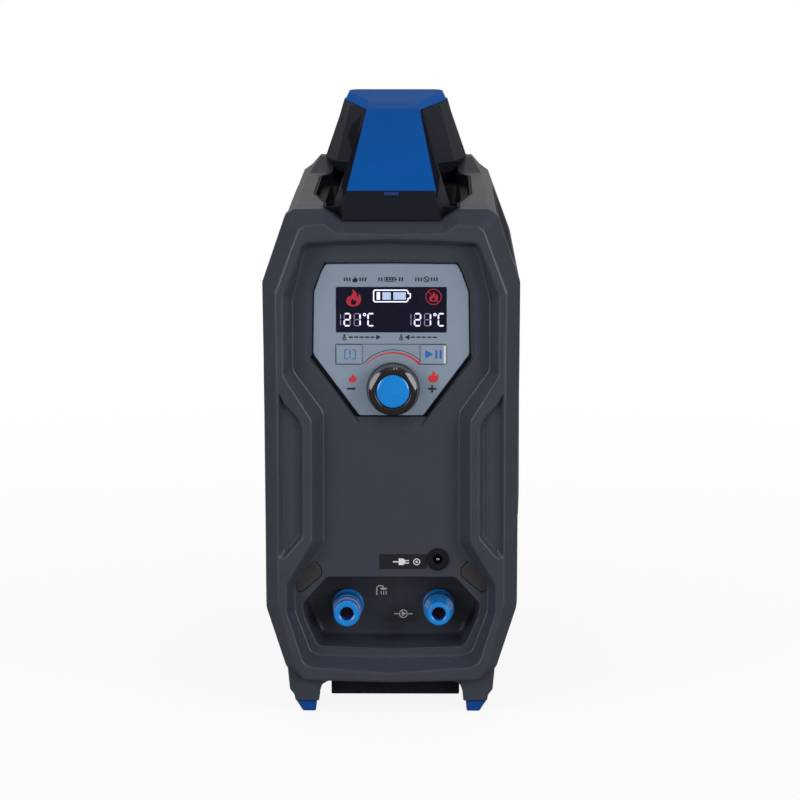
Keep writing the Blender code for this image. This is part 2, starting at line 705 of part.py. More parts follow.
def knob():
    """The knob, its glossy cap, its spindle and the potentiometer that the spindle turns."""
    base = PANEL_Y - KNOB_FLOAT
    nose = base - KNOB_HEIGHT
    seat = nose + CAP_DEPTH
    body = turned("control_knob", [
        (0, seat), (CAP_RADIUS + GAP, seat), (CAP_RADIUS + GAP, nose), (KNOB_NOSE_RADIUS - 0.002, nose),
        (KNOB_NOSE_RADIUS, nose + 0.002), (KNOB_RADIUS, base - 0.003), (KNOB_RADIUS, base),
        (SPINDLE_RADIUS + GAP, base), (SPINDLE_RADIUS + GAP, base - 0.008), (0, base - 0.008),
    ], (KNOB_X, KNOB_Z), KNOB_BLACK, sides=40)
    for angle in (60, 180, -60):
        turn = Matrix.Translation((KNOB_X, 0, KNOB_Z)) @ Matrix.Rotation(radians(angle), 4, "Y")
        flute = front_prism(f"flute_cutter_{angle}", [
            (-FLUTE_HALF, KNOB_NOSE_RADIUS + 0.003), (-FLUTE_HALF, KNOB_NOSE_RADIUS - 0.0006),
            (-FLUTE_HALF / 2, KNOB_NOSE_RADIUS - FLUTE_DEPTH), (FLUTE_HALF / 2, KNOB_NOSE_RADIUS - FLUTE_DEPTH),
            (FLUTE_HALF, KNOB_NOSE_RADIUS - 0.0006), (FLUTE_HALF, KNOB_NOSE_RADIUS + 0.003),
        ], nose - 0.001, base - 0.003)
        cut(body, placed(flute, turn))
    body.data.transform(Matrix.Translation((-KNOB_X, 0, -KNOB_Z)))
    body.location = (KNOB_X, 0, KNOB_Z)
    dome = [(0, nose - CAP_PROUD)]
    dome += [(CAP_RADIUS * sin(pi / 2 * n / 4), nose - CAP_PROUD * cos(pi / 2 * n / 4)) for n in range(1, 5)]
    turned("knob_cap", dome + [(CAP_RADIUS, seat - GAP), (0, seat - GAP)], (KNOB_X, KNOB_Z), GLOSS_BLUE)
    pot = PANEL_BACK + GAP
    rod("knob_spindle", (KNOB_X, base - 0.008 + GAP, KNOB_Z), (KNOB_X, pot + 0.004, KNOB_Z),
        SPINDLE_RADIUS, STEEL)
    case = box("potentiometer", (KNOB_X - 0.008, pot, KNOB_Z - 0.008),
               (KNOB_X + 0.008, pot + POT_DEPTH, KNOB_Z + 0.0075), BLACK)
    cut(case, rod("pot_hole_cutter", (KNOB_X, pot - 0.002, KNOB_Z), (KNOB_X, pot + 0.004 + GAP, KNOB_Z),
                  SPINDLE_RADIUS + GAP))


def side_shells():
    """Left and right shells, each with a raised side pad and a seat for its grille."""
    for side, word in ((-1, "left"), (1, "right")):
        outline = mirrored(body_half())
        shell = front_prism(f"{word}_side_shell", outline, SHELL_START, SHELL_END, CHARCOAL)
        hollow = front_prism(f"{word}_shell_hollow", grown(outline, -SHELL_WALL),
                             SHELL_START - 0.001, SHELL_END + 0.001)
        split = WELL_FRONT_HALF
        x0, x1 = sorted((side * split, -side * 2 * HALF_WIDTH))
        other_half = box(f"{word}_shell_split", (x0, SHELL_START - 0.001, 0.0),
                         (x1, SHELL_END + 0.001, SHELL_TOP + 0.02))
        well = plan_prism(f"{word}_well_cutter", well_outline(0, 0.001),
                          SHELL_TOP - 0.010, SHELL_TOP + 0.010)
        cut(shell, hollow, other_half)
        join(shell, ramp(f"{word}_ramp", side, 0), side_pad(word, side))
        cut(shell, well, grille_blank(f"{word}_grille_seat", side, GAP))


def ramp(name, side, spread):
    """The rise from the flat top to the rear frame's hump, on one side of the well."""
    inner = WELL_FRONT_HALF - spread
    start = SHELL_END - RAMP_LENGTH
    foot = SHELL_TOP - 0.0015
    base = HUMP_HALF_BASE
    low = [(inner, foot), (base - 0.002, foot), (base - 0.003, SHELL_TOP + 0.0001 + spread),
           (HUMP_HALF, SHELL_TOP + 0.0001 + spread), (inner, SHELL_TOP + 0.0001 + spread)]
    high = [(inner, foot), (base - 0.002, foot), (base - 0.003, SHELL_TOP + 0.0008 + spread),
            (HUMP_HALF, SHELL_TOP + HUMP_RISE + spread), (inner, SHELL_TOP + HUMP_RISE + spread)]
    return loft(name, [
        [(side * x, start, z) for x, z in low],
        [(side * x, SHELL_END, z) for x, z in high],
    ])


def side_pad(word, side):
    """The raised six-sided pad on the flat of a side."""
    w = HALF_WIDTH - SIDE_TAPER
    y = PAD_HALF_LENGTH
    corner = 0.020
    outline = [(-y, PAD_BOTTOM_Z + corner), (-y + corner, PAD_BOTTOM_Z), (y - corner, PAD_BOTTOM_Z),
               (y, PAD_BOTTOM_Z + corner), (y, PAD_TOP_Z - corner), (y - corner, PAD_TOP_Z),
               (-y + corner, PAD_TOP_Z), (-y, PAD_TOP_Z - corner)]
    face = grown(outline, -PAD_BEVEL)
    return loft(f"{word}_pad", [
        [(side * (w + 0.0001), y, z) for y, z in outline],
        [(side * (w + 0.0005), y, z) for y, z in outline],
        [(side * (HALF_WIDTH + PAD_PROUD), y, z) for y, z in face],
    ])


def chamfer_frame(side):
    """Middle, slope direction and outward normal of the upper side chamfer."""
    top = Vector((HALF_WIDTH - SHOULDER_INSET, 0, SHELL_TOP - SHOULDER_DROP))
    bottom = Vector((HALF_WIDTH, 0, SHELL_TOP - WIDEST_DROP))
    along = (bottom - top).normalized()
    out = Vector((-along.z, 0, along.x))
    turn = Matrix(((side * out.x, 0, side * along.x, 0), (0, 1, 0, 0), (out.z, 0, along.z, 0), (0, 0, 0, 1)))
    middle = (top + bottom) / 2
    return Matrix.Translation((side * middle.x, 0, middle.z)) @ turn


def grille_blank(name, side, spread, finish=None):
    """A long eight-sided plate lying in the upper side chamfer."""
    y = GRILLE_HALF_LENGTH
    half = GRILLE_WIDTH / 2
    corner = 0.007
    outline = [(-y, half - corner), (-y + corner, half), (y - corner, half), (y, half - corner),
               (y, -half + corner), (y - corner, -half), (-y + corner, -half), (-y, -half + corner)]
    plate = side_prism(name, grown(outline, spread), GRILLE_PROUD - GRILLE_THICKNESS - 2 * spread,
                       GRILLE_PROUD + 4 * spread, finish)
    return placed(plate, chamfer_frame(side))


def grilles():
    """The black exhaust grilles, with sloping slots, on both upper chamfers."""
    pitch = (2 * GRILLE_HALF_LENGTH - 0.020) / GRILLE_SLOTS
    half = GRILLE_WIDTH / 2 - 0.005
    for side, word in ((-1, "left"), (1, "right")):
        grille = grille_blank(f"exhaust_grille_{word}", side, 0, BLACK)
        lean = 0.006
        slots = []
        for n in range(GRILLE_SLOTS):
            y = (n - (GRILLE_SLOTS - 1) / 2) * pitch
            wide = pitch * 0.24
            slot = side_prism(f"{word}_slot_cutter_{n}", [
                (y - wide - lean, -half), (y + wide - lean, -half), (y + wide + lean, half),
                (y - wide + lean, half)], -0.01, 0.01)
            slots.append(placed(slot, chamfer_frame(side)))
        cut(grille, *slots)


def grille_windows():
    """Vent windows in the shells behind the grilles."""
    for side, word in ((-1, "left"), (1, "right")):
        window = box(f"{word}_vent_cutter", (-0.02, -GRILLE_HALF_LENGTH + 0.012, -GRILLE_WIDTH / 2 + 0.005),
                     (0.02, GRILLE_HALF_LENGTH - 0.012, GRILLE_WIDTH / 2 - 0.005))
        cut(bpy.data.objects[f"{word}_side_shell"], placed(window, chamfer_frame(side)))


def top_tray():
    """The black well under the handle: a shallow ledge all round and a deep middle for the hand."""
    ledge = SHELL_TOP - TRAY_LEDGE
    floor = SHELL_TOP - TRAY_DEPTH
    hand_front = FRONT + HAND_FRONT
    hand_rear = REAR - HAND_REAR
    tray = plan_prism("top_tray", well_outline(-GAP, -GAP), ledge - TRAY_WALL, SHELL_TOP - 0.0002, BLACK)
    deep_half = WELL_FRONT_HALF + 0.003
    pan = box("tray_pan", (-deep_half, hand_front - TRAY_WALL, floor),
              (deep_half, hand_rear + TRAY_WALL, ledge - 0.001))
    join(tray, pan)
    shallow = plan_prism("tray_ledge_cutter", well_outline(-TRAY_WALL, 0.002), ledge, SHELL_TOP + 0.01)
    deep = box("tray_pan_cutter", (-deep_half + TRAY_WALL, hand_front, floor + TRAY_WALL),
               (deep_half - TRAY_WALL, hand_rear, SHELL_TOP + 0.01))
    cut(tray, shallow, deep)


def rear_frame():
    """The rear frame: like the front one, with a hump that carries the handle's rear foot."""
    outline = mirrored(body_half(hump()))
    edge = mirrored([(x, min(z, SHELL_TOP - 0.0005 + HUMP_RISE)) for x, z in body_half(hump())])
    edge = grown(edge, -RIM_EDGE)
    frame = loft("rear_frame", [
        [(x, REAR - FRAME_DEPTH, z) for x, z in outline],
        [(x, REAR - RIM_DEPTH, z) for x, z in outline],
        [(x, REAR, z) for x, z in edge],
    ], CHARCOAL)
    legs("rear", frame, REAR - FRAME_DEPTH, REAR - LEG_SETBACK)
    opening = loft("rear_recess_cutter", [
        [(x, REAR - RIM_DEPTH - GAP, z) for x, z in mirrored(recess_half(RECESS_DRAFT))],
        [(x, REAR + 0.001, z) for x, z in mirrored(recess_half(-RECESS_DRAFT / RIM_DEPTH * 0.001))],
    ])
    hollow = front_prism("rear_hollow_cutter", frame_cavity(), REAR - FRAME_DEPTH - 0.001,
                         REAR - RIM_DEPTH + GAP)
    cut(frame, opening, hollow)
    face = REAR - RIM_DEPTH
    panel = front_prism("rear_panel", mirrored(recess_half(RECESS_DRAFT - FASCIA_LAP)),
                        face - FASCIA_THICKNESS, face, CHARCOAL)
    cut(panel, rod("gas_hole_cutter", (GAS_X, face - 0.01, GAS_Z), (GAS_X, face + 0.01, GAS_Z),
                   INLET_RADIUS + 0.0005, sides=24))
    for row in range(7):
        z = 0.135 + row * 0.016
        slot = box(f"air_slot_cutter_{row}", (-0.032, face - 0.01, z), (0.032, face + 0.01, z + 0.006))
        cut(panel, slot)


def underside():
    """Bottom plate between the shells and the drip tray that hangs below the chin."""
    half = WELL_FRONT_HALF - GAP
    box("bottom_plate", (-half, SHELL_START, CHIN_BOTTOM), (half, SHELL_END, FLOOR_Z), CHARCOAL)
    wall = 0.0018
    top = CHIN_BOTTOM - GAP
    low = (DRIP_X - DRIP_HALF, FRONT + FRAME_DEPTH - 0.012, DRIP_BOTTOM)
    high = (DRIP_X + DRIP_HALF, REAR - FRAME_DEPTH - 0.010, top)
    tray = box("drip_tray", low, high, BLACK)
    cut(tray, box("drip_cutter", (low[0] + wall, low[1] + wall, low[2] + wall),
                  (high[0] - wall, high[1] - wall, top + 0.001)))


def feet():
    """Four rubber feet, one under each leg."""
    w = HALF_WIDTH
    inner = w - LEG_INNER_INSET + 0.0026
    outer = w - LEG_OUTER_INSET - 0.0055
    top = LEG_BOTTOM - GAP
    for side, across in ((-1, "left"), (1, "right")):
        for start, along in ((FRONT + LEG_SETBACK + 0.002, "front"), (REAR - FRAME_DEPTH + 0.003, "rear")):
            end = start + FRAME_DEPTH - LEG_SETBACK - 0.005
            outline = [(inner, top), (outer, top), (outer - 0.0043, 0.0), (inner + 0.0007, 0.0)]
            front_prism(f"foot_{along}_{across}", [(side * x, z) for x, z in outline], start, end, FOOT_BLUE)


def slope_points():
    """Foot and head of the handle's sloping face, in the (y, z) plane."""
    foot_y = FRONT + 0.0195
    return (foot_y, HANDLE_FACE_Z), (foot_y + HANDLE_SLOPE_RUN, HANDLE_TOP)


def under_band(depth):
    """Foot, head and rear corner of the line that lies a depth under the cover's outside."""
    (y0, z0), (y1, z1) = slope_points()
    along = Vector((y1 - y0, z1 - z0)).normalized()
    down = Vector((along.y, -along.x)) * depth
    foot = Vector((y0, z0)) + down
    head_z = z1 - depth
    head_y = foot.x + (head_z - foot.y) * along.x / along.y
    return (foot.x, foot.y), (head_y, head_z)


def wing_plan(inset):
    """Plan of the blue cover, from its narrow sloping front to the wings at the rear."""
    (foot_y, _), (head_y, _) = slope_points()
    right = [
        (HANDLE_FACE_HALF, foot_y - 0.004),
        (GRIP_HALF, head_y),
        (GRIP_HALF + 0.0003 - inset * 0.5, REAR - 0.150 + inset),
        (WING_HALF - inset, REAR - 0.050 + inset),
        (WING_HALF - inset, REAR - 0.024 - inset),
        (WING_HALF - 0.008 - inset, REAR - 0.012 - inset),
    ]
    return right + [(-x, y) for x, y in reversed(right)]


def handle_cover():
    """The blue cover: a band that follows the handle's slope and top, cut to its plan."""
    (foot_y, foot_z), (head_y, head_z) = slope_points()
    (low_y, low_z), (under_y, under_z) = under_band(COVER_BAND)
    far = REAR - 0.006
    cover = side_prism("handle_cover", [
        (foot_y, foot_z), (head_y, head_z), (REAR - 0.020, head_z), (far, head_z - 0.003), (far, under_z),
        (under_y, under_z), (low_y, low_z),
    ], -0.06, 0.06, BLUE)
    trim = loft("cover_plan_guide", [
        [(x, y, HANDLE_FACE_Z - 0.02) for x, y in wing_plan(-0.0002)],
        [(x, y, HANDLE_TOP - COVER_BAND) for x, y in wing_plan(0)],
        [(x, y, HANDLE_TOP + 0.001) for x, y in wing_plan(0.003)],
    ])
    keep(cover, trim)


def handle_core():
    """The black loop under the cover: front leg, grip and rear housing, with the hand's gap."""
    foot = SHELL_TOP - TRAY_LEDGE + GAP
    front = FRONT + 0.0095
    hand_front = FRONT + HAND_FRONT
    hand_rear = REAR - HAND_REAR
    leg_plan = [(HANDLE_FOOT_HALF, front), (HANDLE_FOOT_WIDE, front + 0.045), (HANDLE_FOOT_WIDE - 0.001, hand_front)]
    head_plan = [(GRIP_HALF - 0.001, front), (GRIP_HALF + 0.001, front + 0.045), (GRIP_HALF, hand_front + 0.040)]
    core = loft("handle_core", [
        [(x, y, foot) for x, y in leg_plan + [(-x, y) for x, y in reversed(leg_plan)]],
        [(x, y, HANDLE_TOP) for x, y in head_plan + [(-x, y) for x, y in reversed(head_plan)]],
    ], BLACK)
    under = HANDLE_TOP - GRIP_UNDER
    grip_half = GRIP_HALF - 0.0007
    grip = box("grip_guide", (-grip_half, front + 0.030, under), (grip_half, REAR - 0.06, HANDLE_TOP))
    low_plan = [(0.030, REAR - 0.092), (HOUSING_HALF, REAR - 0.047), (HOUSING_HALF, REAR - 0.014),
                (HOUSING_HALF - 0.0095, REAR - 0.003)]
    high_plan = [(GRIP_HALF - 0.001, REAR - 0.140), (WING_HALF - 0.001, REAR - 0.054),
                 (WING_HALF - 0.001, REAR - 0.023), (WING_HALF - 0.009, REAR - 0.011)]
    housing = loft("housing_guide", [
        [(x, y, SHELL_TOP) for x, y in low_plan + [(-x, y) for x, y in reversed(low_plan)]],
        [(x, y, HANDLE_TOP) for x, y in high_plan + [(-x, y) for x, y in reversed(high_plan)]],
    ])
    stem_half = WELL_FRONT_HALF - TRAY_WALL - GAP - 0.002
    stem_plan = [(0.027, REAR - 0.0865), (stem_half, REAR - 0.062), (stem_half, SHELL_END - 0.0002)]
    stem = plan_prism("housing_stem_guide", stem_plan + [(-x, y) for x, y in reversed(stem_plan)],
                      foot, SHELL_TOP + 0.009)
    join(core, grip, housing, stem)
    (low_y, low_z), (under_y, under_z) = under_band(COVER_BAND + GAP)
    (face_y, face_z), (head_y, head_z) = slope_points()
    back_off = Vector((head_y - face_y, head_z - face_z)).normalized() * GAP
    outline = [
        (front - 0.001, foot - 0.001), (front, foot), (face_y - back_off.x, face_z - back_off.y),
        (low_y - back_off.x, low_z - back_off.y), (under_y, under_z), (REAR + 0.001, under_z),
        (REAR + 0.001, foot - 0.001),
    ]
    keep(core, side_prism("handle_side_guide", outline, -0.07, 0.07))
    gap = side_prism("hand_gap_cutter", [
        (hand_front - HAND_GAP_RUN, foot - 0.002), (hand_front + 0.024, under), (hand_rear - 0.040, under),
        (hand_rear + HAND_GAP_RUN - 0.004, foot - 0.002),
    ], -0.07, 0.07)
    cut(core, gap)
    hump_cut = box("hump_clearance_cutter", (-0.06, SHELL_END - 0.0001, foot - 0.002),
                   (0.06, REAR + 0.001, SHELL_TOP + HUMP_RISE + GAP))
    cut(core, hump_cut, ramp("left_ramp_clearance", -1, GAP), ramp("right_ramp_clearance", 1, GAP))
    floor = SHELL_TOP - NOTCH_DROP
    bank = grown([(NOTCH_HALF, floor), (NOTCH_TOP_HALF, SHELL_TOP), (0.060, SHELL_TOP), (0.060, floor)], GAP)
    for side, word in ((-1, "left"), (1, "right")):
        cut(core, front_prism(f"{word}_notch_clearance", [(side * x, z) for x, z in bank],
                              FRONT - 0.001, FRONT + FRAME_DEPTH + GAP))
        x0, x1 = sorted((side * (stem_half + 0.0001), side * 0.06))
        cut(core, box(f"{word}_shell_clearance", (x0, REAR - 0.10, foot - 0.002),
                      (x1, SHELL_END, SHELL_TOP + GAP)))


def chassis():
    """Chassis plate and the two bracket walls that everything inside hangs on."""
    top = FLOOR_Z + GAP
    start = SHELL_START + 0.004
    half = HALF_WIDTH - TOP_INSET - 0.002
    box("chassis_plate", (-half, start, top), (half, SHELL_END - 0.004, top + SHEET), ZINC)
    base = top + SHEET + GAP
    for name, y in (("front_bracket", BRACKET_FRONT_Y), ("rear_bracket", BRACKET_REAR_Y)):
        wall = front_prism(name, grown(mirrored(body_half()), -SHELL_WALL - GAP), y, y + SHEET, ZINC)
        roof_cut = box(f"{name}_roof_cutter", (-HALF_WIDTH, y - 0.01, SHELL_TOP - TRAY_DEPTH - GAP),
                       (HALF_WIDTH, y + 0.01, SHELL_TOP + 0.01))
        foot_cut = box(f"{name}_foot_cutter", (-HALF_WIDTH, y - 0.01, 0.0), (HALF_WIDTH, y + 0.01, base))
        window = box(f"{name}_window_cutter", (-0.044, y - 0.01, JACKET_BOTTOM + 0.012),
                     (0.044, y + 0.01, JACKET_TOP - 0.012))
        cut(wall, roof_cut, foot_cut, window)
        for number, x in enumerate(FITTING_X):
            for z in (FITTING_Z, JACKET_TOP + CORE_HEIGHT - 0.014):
                cut(wall, rod(f"{name}_pipe_cutter_{number}_{z:.3f}", (x, y - 0.01, z), (x, y + 0.01, z),
                              PIPE_RADIUS + 0.0006, sides=16))
        cut(wall, rod(f"{name}_gas_cutter", (GAS_X, y - 0.01, GAS_Z), (GAS_X, y + 0.01, GAS_Z),
                      PIPE_RADIUS + 0.0003, sides=16))


def firebox():
    """Combustion jacket, burner, manifold, exchanger and hood, between the brackets."""
    start = BRACKET_FRONT_Y + SHEET + GAP
    end = BRACKET_REAR_Y - GAP
    half = JACKET_HALF
    jacket = box("combustion_jacket", (-half, start, JACKET_BOTTOM), (half, end, JACKET_TOP), ZINC)
    cut(jacket, box("jacket_cutter", (-half + SHEET, start + SHEET, JACKET_BOTTOM - 0.01),
                    (half - SHEET, end - SHEET, JACKET_TOP + 0.01)))
    inside = half - SHEET - GAP
    front = start + SHEET + GAP
    back = end - SHEET - GAP
    burner_low = JACKET_BOTTOM + 0.008
    burner = box("burner", (-inside, front, burner_low), (inside, back, burner_low + 0.0015), STEEL)
    pitch = 2 * (inside - 0.006) / (BURNER_BARS - 1)
    for n in range(BURNER_BARS):
        x = -inside + 0.006 + n * pitch
        bar = front_prism(f"burner_bar_{n}", [
            (x - BURNER_BAR_HALF, burner_low + 0.001), (x + BURNER_BAR_HALF, burner_low + 0.001),
            (x + BURNER_BAR_HALF, burner_low + 0.020), (x, burner_low + 0.024),
            (x - BURNER_BAR_HALF, burner_low + 0.020)], front + 0.008, back - 0.008)
        join(burner, bar)
    core_low = JACKET_TOP + GAP
    core_half = half - 0.004
    exchanger = box("heat_exchanger", (-core_half, start + 0.004, core_low),
                    (core_half, end - 0.004, core_low + CORE_HEIGHT), COPPER)
    pitch = (end - start - 0.008 - FIN_THICKNESS) / FIN_COUNT
    for n in range(FIN_COUNT):
        y = start + 0.004 + FIN_THICKNESS + n * pitch
        cut(exchanger, box(f"fin_gap_cutter_{n}", (-core_half - 0.01, y, core_low + CORE_RAIL),
                           (core_half + 0.01, y + pitch - FIN_THICKNESS, core_low + CORE_HEIGHT - CORE_RAIL)))
    hood_low = core_low + CORE_HEIGHT + GAP
    hood_top = SHELL_TOP - TRAY_DEPTH - GAP
    hood_half = HALF_WIDTH - SHOULDER_INSET - 0.004
    hood = loft("flue_hood", [
        [(-core_half, start + 0.004, hood_low), (core_half, start + 0.004, hood_low),
         (core_half, end - 0.004, hood_low), (-core_half, end - 0.004, hood_low)],
        [(-hood_half, start + 0.004, hood_top), (hood_half, start + 0.004, hood_top),
         (hood_half, end - 0.004, hood_top), (-hood_half, end - 0.004, hood_top)],
    ], ZINC)
    cut(hood, box("hood_cutter", (-HALF_WIDTH, start + 0.004 + SHEET, hood_low - 0.01),
                  (HALF_WIDTH, end - 0.004 - SHEET, hood_top - SHEET)))


def gas_line():
    """Gas inlet, supply pipe, valve and the manifold under the burner."""
    face = REAR - RIM_DEPTH
    inlet_back = face - 0.020
    turned("gas_inlet", [
        (0.003, face + 0.010), (INLET_RADIUS - 0.003, face + 0.010), (INLET_RADIUS - 0.003, face + 0.004),
        (INLET_RADIUS + 0.002, face + 0.004), (INLET_RADIUS + 0.002, face + GAP),
        (INLET_RADIUS, face + GAP), (INLET_RADIUS, face - 0.006), (INLET_RADIUS - 0.003, face - 0.006),
        (INLET_RADIUS - 0.003, inlet_back), (0.003, inlet_back), (0.003, face + 0.010),
    ], (GAS_X, GAS_Z), BRASS)
    valve_back = BRACKET_REAR_Y - 0.010
    valve_front = valve_back - 0.040
    floor = FLOOR_Z + 2 * GAP + SHEET
    valve = box("gas_valve", (GAS_X - VALVE_HALF, valve_front, floor), (GAS_X + VALVE_HALF, valve_back, VALVE_TOP),
                BRASS)
    join(valve, rod("valve_cap_guide", (GAS_X, valve_front - 0.010, GAS_Z), (GAS_X, valve_front + 0.002, GAS_Z),
                    0.012))
    pipe("gas_supply_pipe", [(GAS_X, inlet_back - GAP, GAS_Z), (GAS_X, valve_back + GAP, GAS_Z)],
         PIPE_RADIUS - GAP, BRASS)
    bar_z = JACKET_BOTTOM - 0.010
    bar_y = valve_front + 0.018
    bar_half = JACKET_HALF - 0.008
    manifold = box("gas_manifold", (-bar_half, bar_y - 0.005, bar_z - 0.005), (bar_half, bar_y + 0.005, bar_z + 0.005),
                   BRASS)
    join(manifold, rod("manifold_stem", (GAS_X, bar_y, VALVE_TOP + GAP), (GAS_X, bar_y, bar_z), 0.0042, sides=12))
    inside = JACKET_HALF - SHEET - GAP
    pitch = 2 * (inside - 0.006) / (BURNER_BARS - 1)
    for n in range(BURNER_BARS):
        x = -inside + 0.006 + n * pitch
        x = max(-bar_half + 0.003, min(bar_half - 0.003, x))
        join(manifold, rod(f"jet_guide_{n}", (x, bar_y, bar_z), (x, bar_y, JACKET_BOTTOM + 0.008 - GAP), 0.002,
                           sides=8))


def probes():
    """Igniter electrode and flame probe, through the front wall of the jacket."""
    z = JACKET_BOTTOM + 0.048
    start = BRACKET_FRONT_Y + SHEET + GAP
    for name, x in (("igniter_electrode", -0.012), ("flame_probe", 0.012)):
        hole = rod(f"{name}_hole_cutter", (x, start - 0.002, z), (x, start + 0.004, z), 0.0028, sides=12)
        cut(bpy.data.objects["combustion_jacket"], hole)
        turned(name, [
            (0, start - 0.012), (0.0025, start - 0.012), (0.0025, start + 0.008),
            (0.0009, start + 0.008), (0.0009, start + 0.030), (0, start + 0.030),
        ], (x, z), CERAMIC, sides=12)


def water_lines():
    """Pipes from the pump fitting up to the exchanger and back down to the shower fitting."""
    tail = BAY_BACK + FITTING_TAIL
    top_z = JACKET_TOP + GAP + CORE_HEIGHT - 0.014
    core_front = BRACKET_FRONT_Y + SHEET + GAP + 0.004
    up_y = tail + 0.0075
    sensor_low = 0.110
    sensor_high = 0.150
    for x, name in zip(FITTING_X, ("water_outlet_pipe", "water_inlet_pipe")):
        ends = [(x, tail + GAP, FITTING_Z), (x, up_y, FITTING_Z), (x, up_y, top_z), (x, core_front - GAP, top_z)]
        pipe(name, ends, PIPE_RADIUS - GAP, COPPER, bend=0.007)
        if name == "water_inlet_pipe":
            sensor = box("flow_sensor", (x - 0.010, up_y - 0.0075, sensor_low),
                         (x + 0.010, up_y + 0.0070, sensor_high), BLACK)
            cut(sensor, rod("sensor_bore_cutter", (x, up_y, sensor_low - 0.01), (x, up_y, sensor_high + 0.01),
                            PIPE_RADIUS + GAP))


def electrics():
    """Display board, control board and battery pack."""
    lens_back = PANEL_Y + LENS_THICKNESS + GAP
    top = SHELL_TOP - DISPLAY_DROP
    board_y = lens_back + 0.0025 + GAP
    low = SHELL_TOP - BUTTON_DROP - BUTTON_HEIGHT - 0.005
    display = box("display_board", (-DISPLAY_HALF - 0.003, board_y, low),
                  (DISPLAY_HALF + 0.003, board_y + 0.0016, top + 0.004), BOARD_GREEN)
    join(display, box("display_module_guide", (-DISPLAY_HALF + 0.002, lens_back, top - DISPLAY_HEIGHT + 0.002),
                      (DISPLAY_HALF - 0.002, board_y + 0.0005, top - 0.002)))
    key_z = SHELL_TOP - BUTTON_DROP - BUTTON_HEIGHT / 2
    pressed = PANEL_Y + BUTTON_DEPTH + BUTTON_TRAVEL
    for side in (-1, 1):
        x = side * (DISPLAY_HALF - BUTTON_WIDTH / 2)
        join(display, box(f"switch_guide_{side}", (x - 0.003, pressed + GAP, key_z - 0.003),
                          (x + 0.003, board_y + 0.0005, key_z + 0.003)))
    control_y = BRACKET_FRONT_Y - 0.016
    control = box("control_board", (-0.052, control_y, 0.160), (-0.040 + 0.052, control_y + 0.0016, 0.250), BOARD_GREEN)
    for x, z in ((-0.048, 0.165), (0.006, 0.165), (-0.048, 0.246), (0.006, 0.246)):
        join(control, rod(f"standoff_{x}_{z}", (x, control_y + 0.001, z), (x, BRACKET_FRONT_Y - GAP, z), 0.0022, sides=8))
    floor = FLOOR_Z + 2 * GAP + SHEET
    start = BRACKET_FRONT_Y + SHEET + 0.010
    box("battery_pack", (-0.056, start, floor), (-0.006, start + 0.100, floor + 0.040), CELL_BLUE)


def smooth_round_pieces():
    for obj in bpy.data.objects:
        if obj.type == "MESH" and not obj.hide_render:
            obj.data.shade_smooth()
            obj.data.set_sharp_from_angle(angle=radians(32))


def build():
    clear_scene()
    front_frame()
    front_fascia()
    connection_bay()
    fittings()
    power_socket()
    control_panel()
    knob()
    side_shells()
    grilles()
    grille_windows()
    top_tray()
    rear_frame()
    underside()
    feet()
    handle_cover()
    handle_core()
    chassis()
    firebox()
    gas_line()
    probes()
    water_lines()
    electrics()
    smooth_round_pieces()


build()
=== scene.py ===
"""Looks of a portable gas water heater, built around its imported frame.

Places are in metres in the frame's own axes: X to the right, Y to the back, Z up, and the control
panel faces -Y. Outlines are drawn in millimetres, and every builder turns them into metres.
"""

import json
from math import copysign, cos, pi, radians, sin, tan, tau

import bmesh
import bpy
from bpy.props import FloatProperty, FloatVectorProperty, PointerProperty
from mathutils import Matrix, Vector

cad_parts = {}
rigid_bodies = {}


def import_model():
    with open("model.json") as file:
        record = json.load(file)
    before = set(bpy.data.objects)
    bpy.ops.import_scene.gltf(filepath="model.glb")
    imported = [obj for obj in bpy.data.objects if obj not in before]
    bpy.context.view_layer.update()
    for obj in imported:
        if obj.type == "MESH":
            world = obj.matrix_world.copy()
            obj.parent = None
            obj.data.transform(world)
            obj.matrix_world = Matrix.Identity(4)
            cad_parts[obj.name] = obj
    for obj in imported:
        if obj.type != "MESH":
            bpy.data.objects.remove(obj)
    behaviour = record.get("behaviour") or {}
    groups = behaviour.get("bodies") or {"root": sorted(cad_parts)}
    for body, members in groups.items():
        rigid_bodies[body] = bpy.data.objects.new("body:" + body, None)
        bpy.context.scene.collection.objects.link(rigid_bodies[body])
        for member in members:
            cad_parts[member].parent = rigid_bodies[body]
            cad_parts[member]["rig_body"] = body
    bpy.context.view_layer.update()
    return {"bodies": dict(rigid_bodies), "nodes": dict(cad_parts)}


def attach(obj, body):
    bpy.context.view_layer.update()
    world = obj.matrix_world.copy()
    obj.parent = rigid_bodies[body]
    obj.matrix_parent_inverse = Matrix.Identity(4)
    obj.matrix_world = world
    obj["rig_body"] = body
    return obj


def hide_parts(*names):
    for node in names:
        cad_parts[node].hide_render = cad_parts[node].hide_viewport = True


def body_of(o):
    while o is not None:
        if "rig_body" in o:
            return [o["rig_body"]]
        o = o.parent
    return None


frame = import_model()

bl_info = {
    "name": "Portable gas water heater",
    "version": (1, 0, 0),
    "blender": (4, 5, 0),
    "location": "View3D > Sidebar > Heater",
    "description": "Builds the heater's visible pieces, finishes and studio around its frame",
    "category": "Object",
}

CAD_NODES = frame["nodes"]
MM = 0.001
HEATER = "heater"

# Depths of the front's faces, in millimetres
RIM_Y = -180.0
FACE_Y = -168.0
FRAME_BACK_Y = -150.0
FASCIA_BACK_Y = -164.3
PANEL_Y = -164.0
BAY_BACK_Y = -137.0
KEY_Y = PANEL_Y - 0.9
DISPLAY_Y = PANEL_Y + 0.1
FITTING_NOSE_Y = -172.0
KNOB_BASE_Y = -165.6
KNOB_NOSE_Y = -178.6
LEG_Y = -173.0

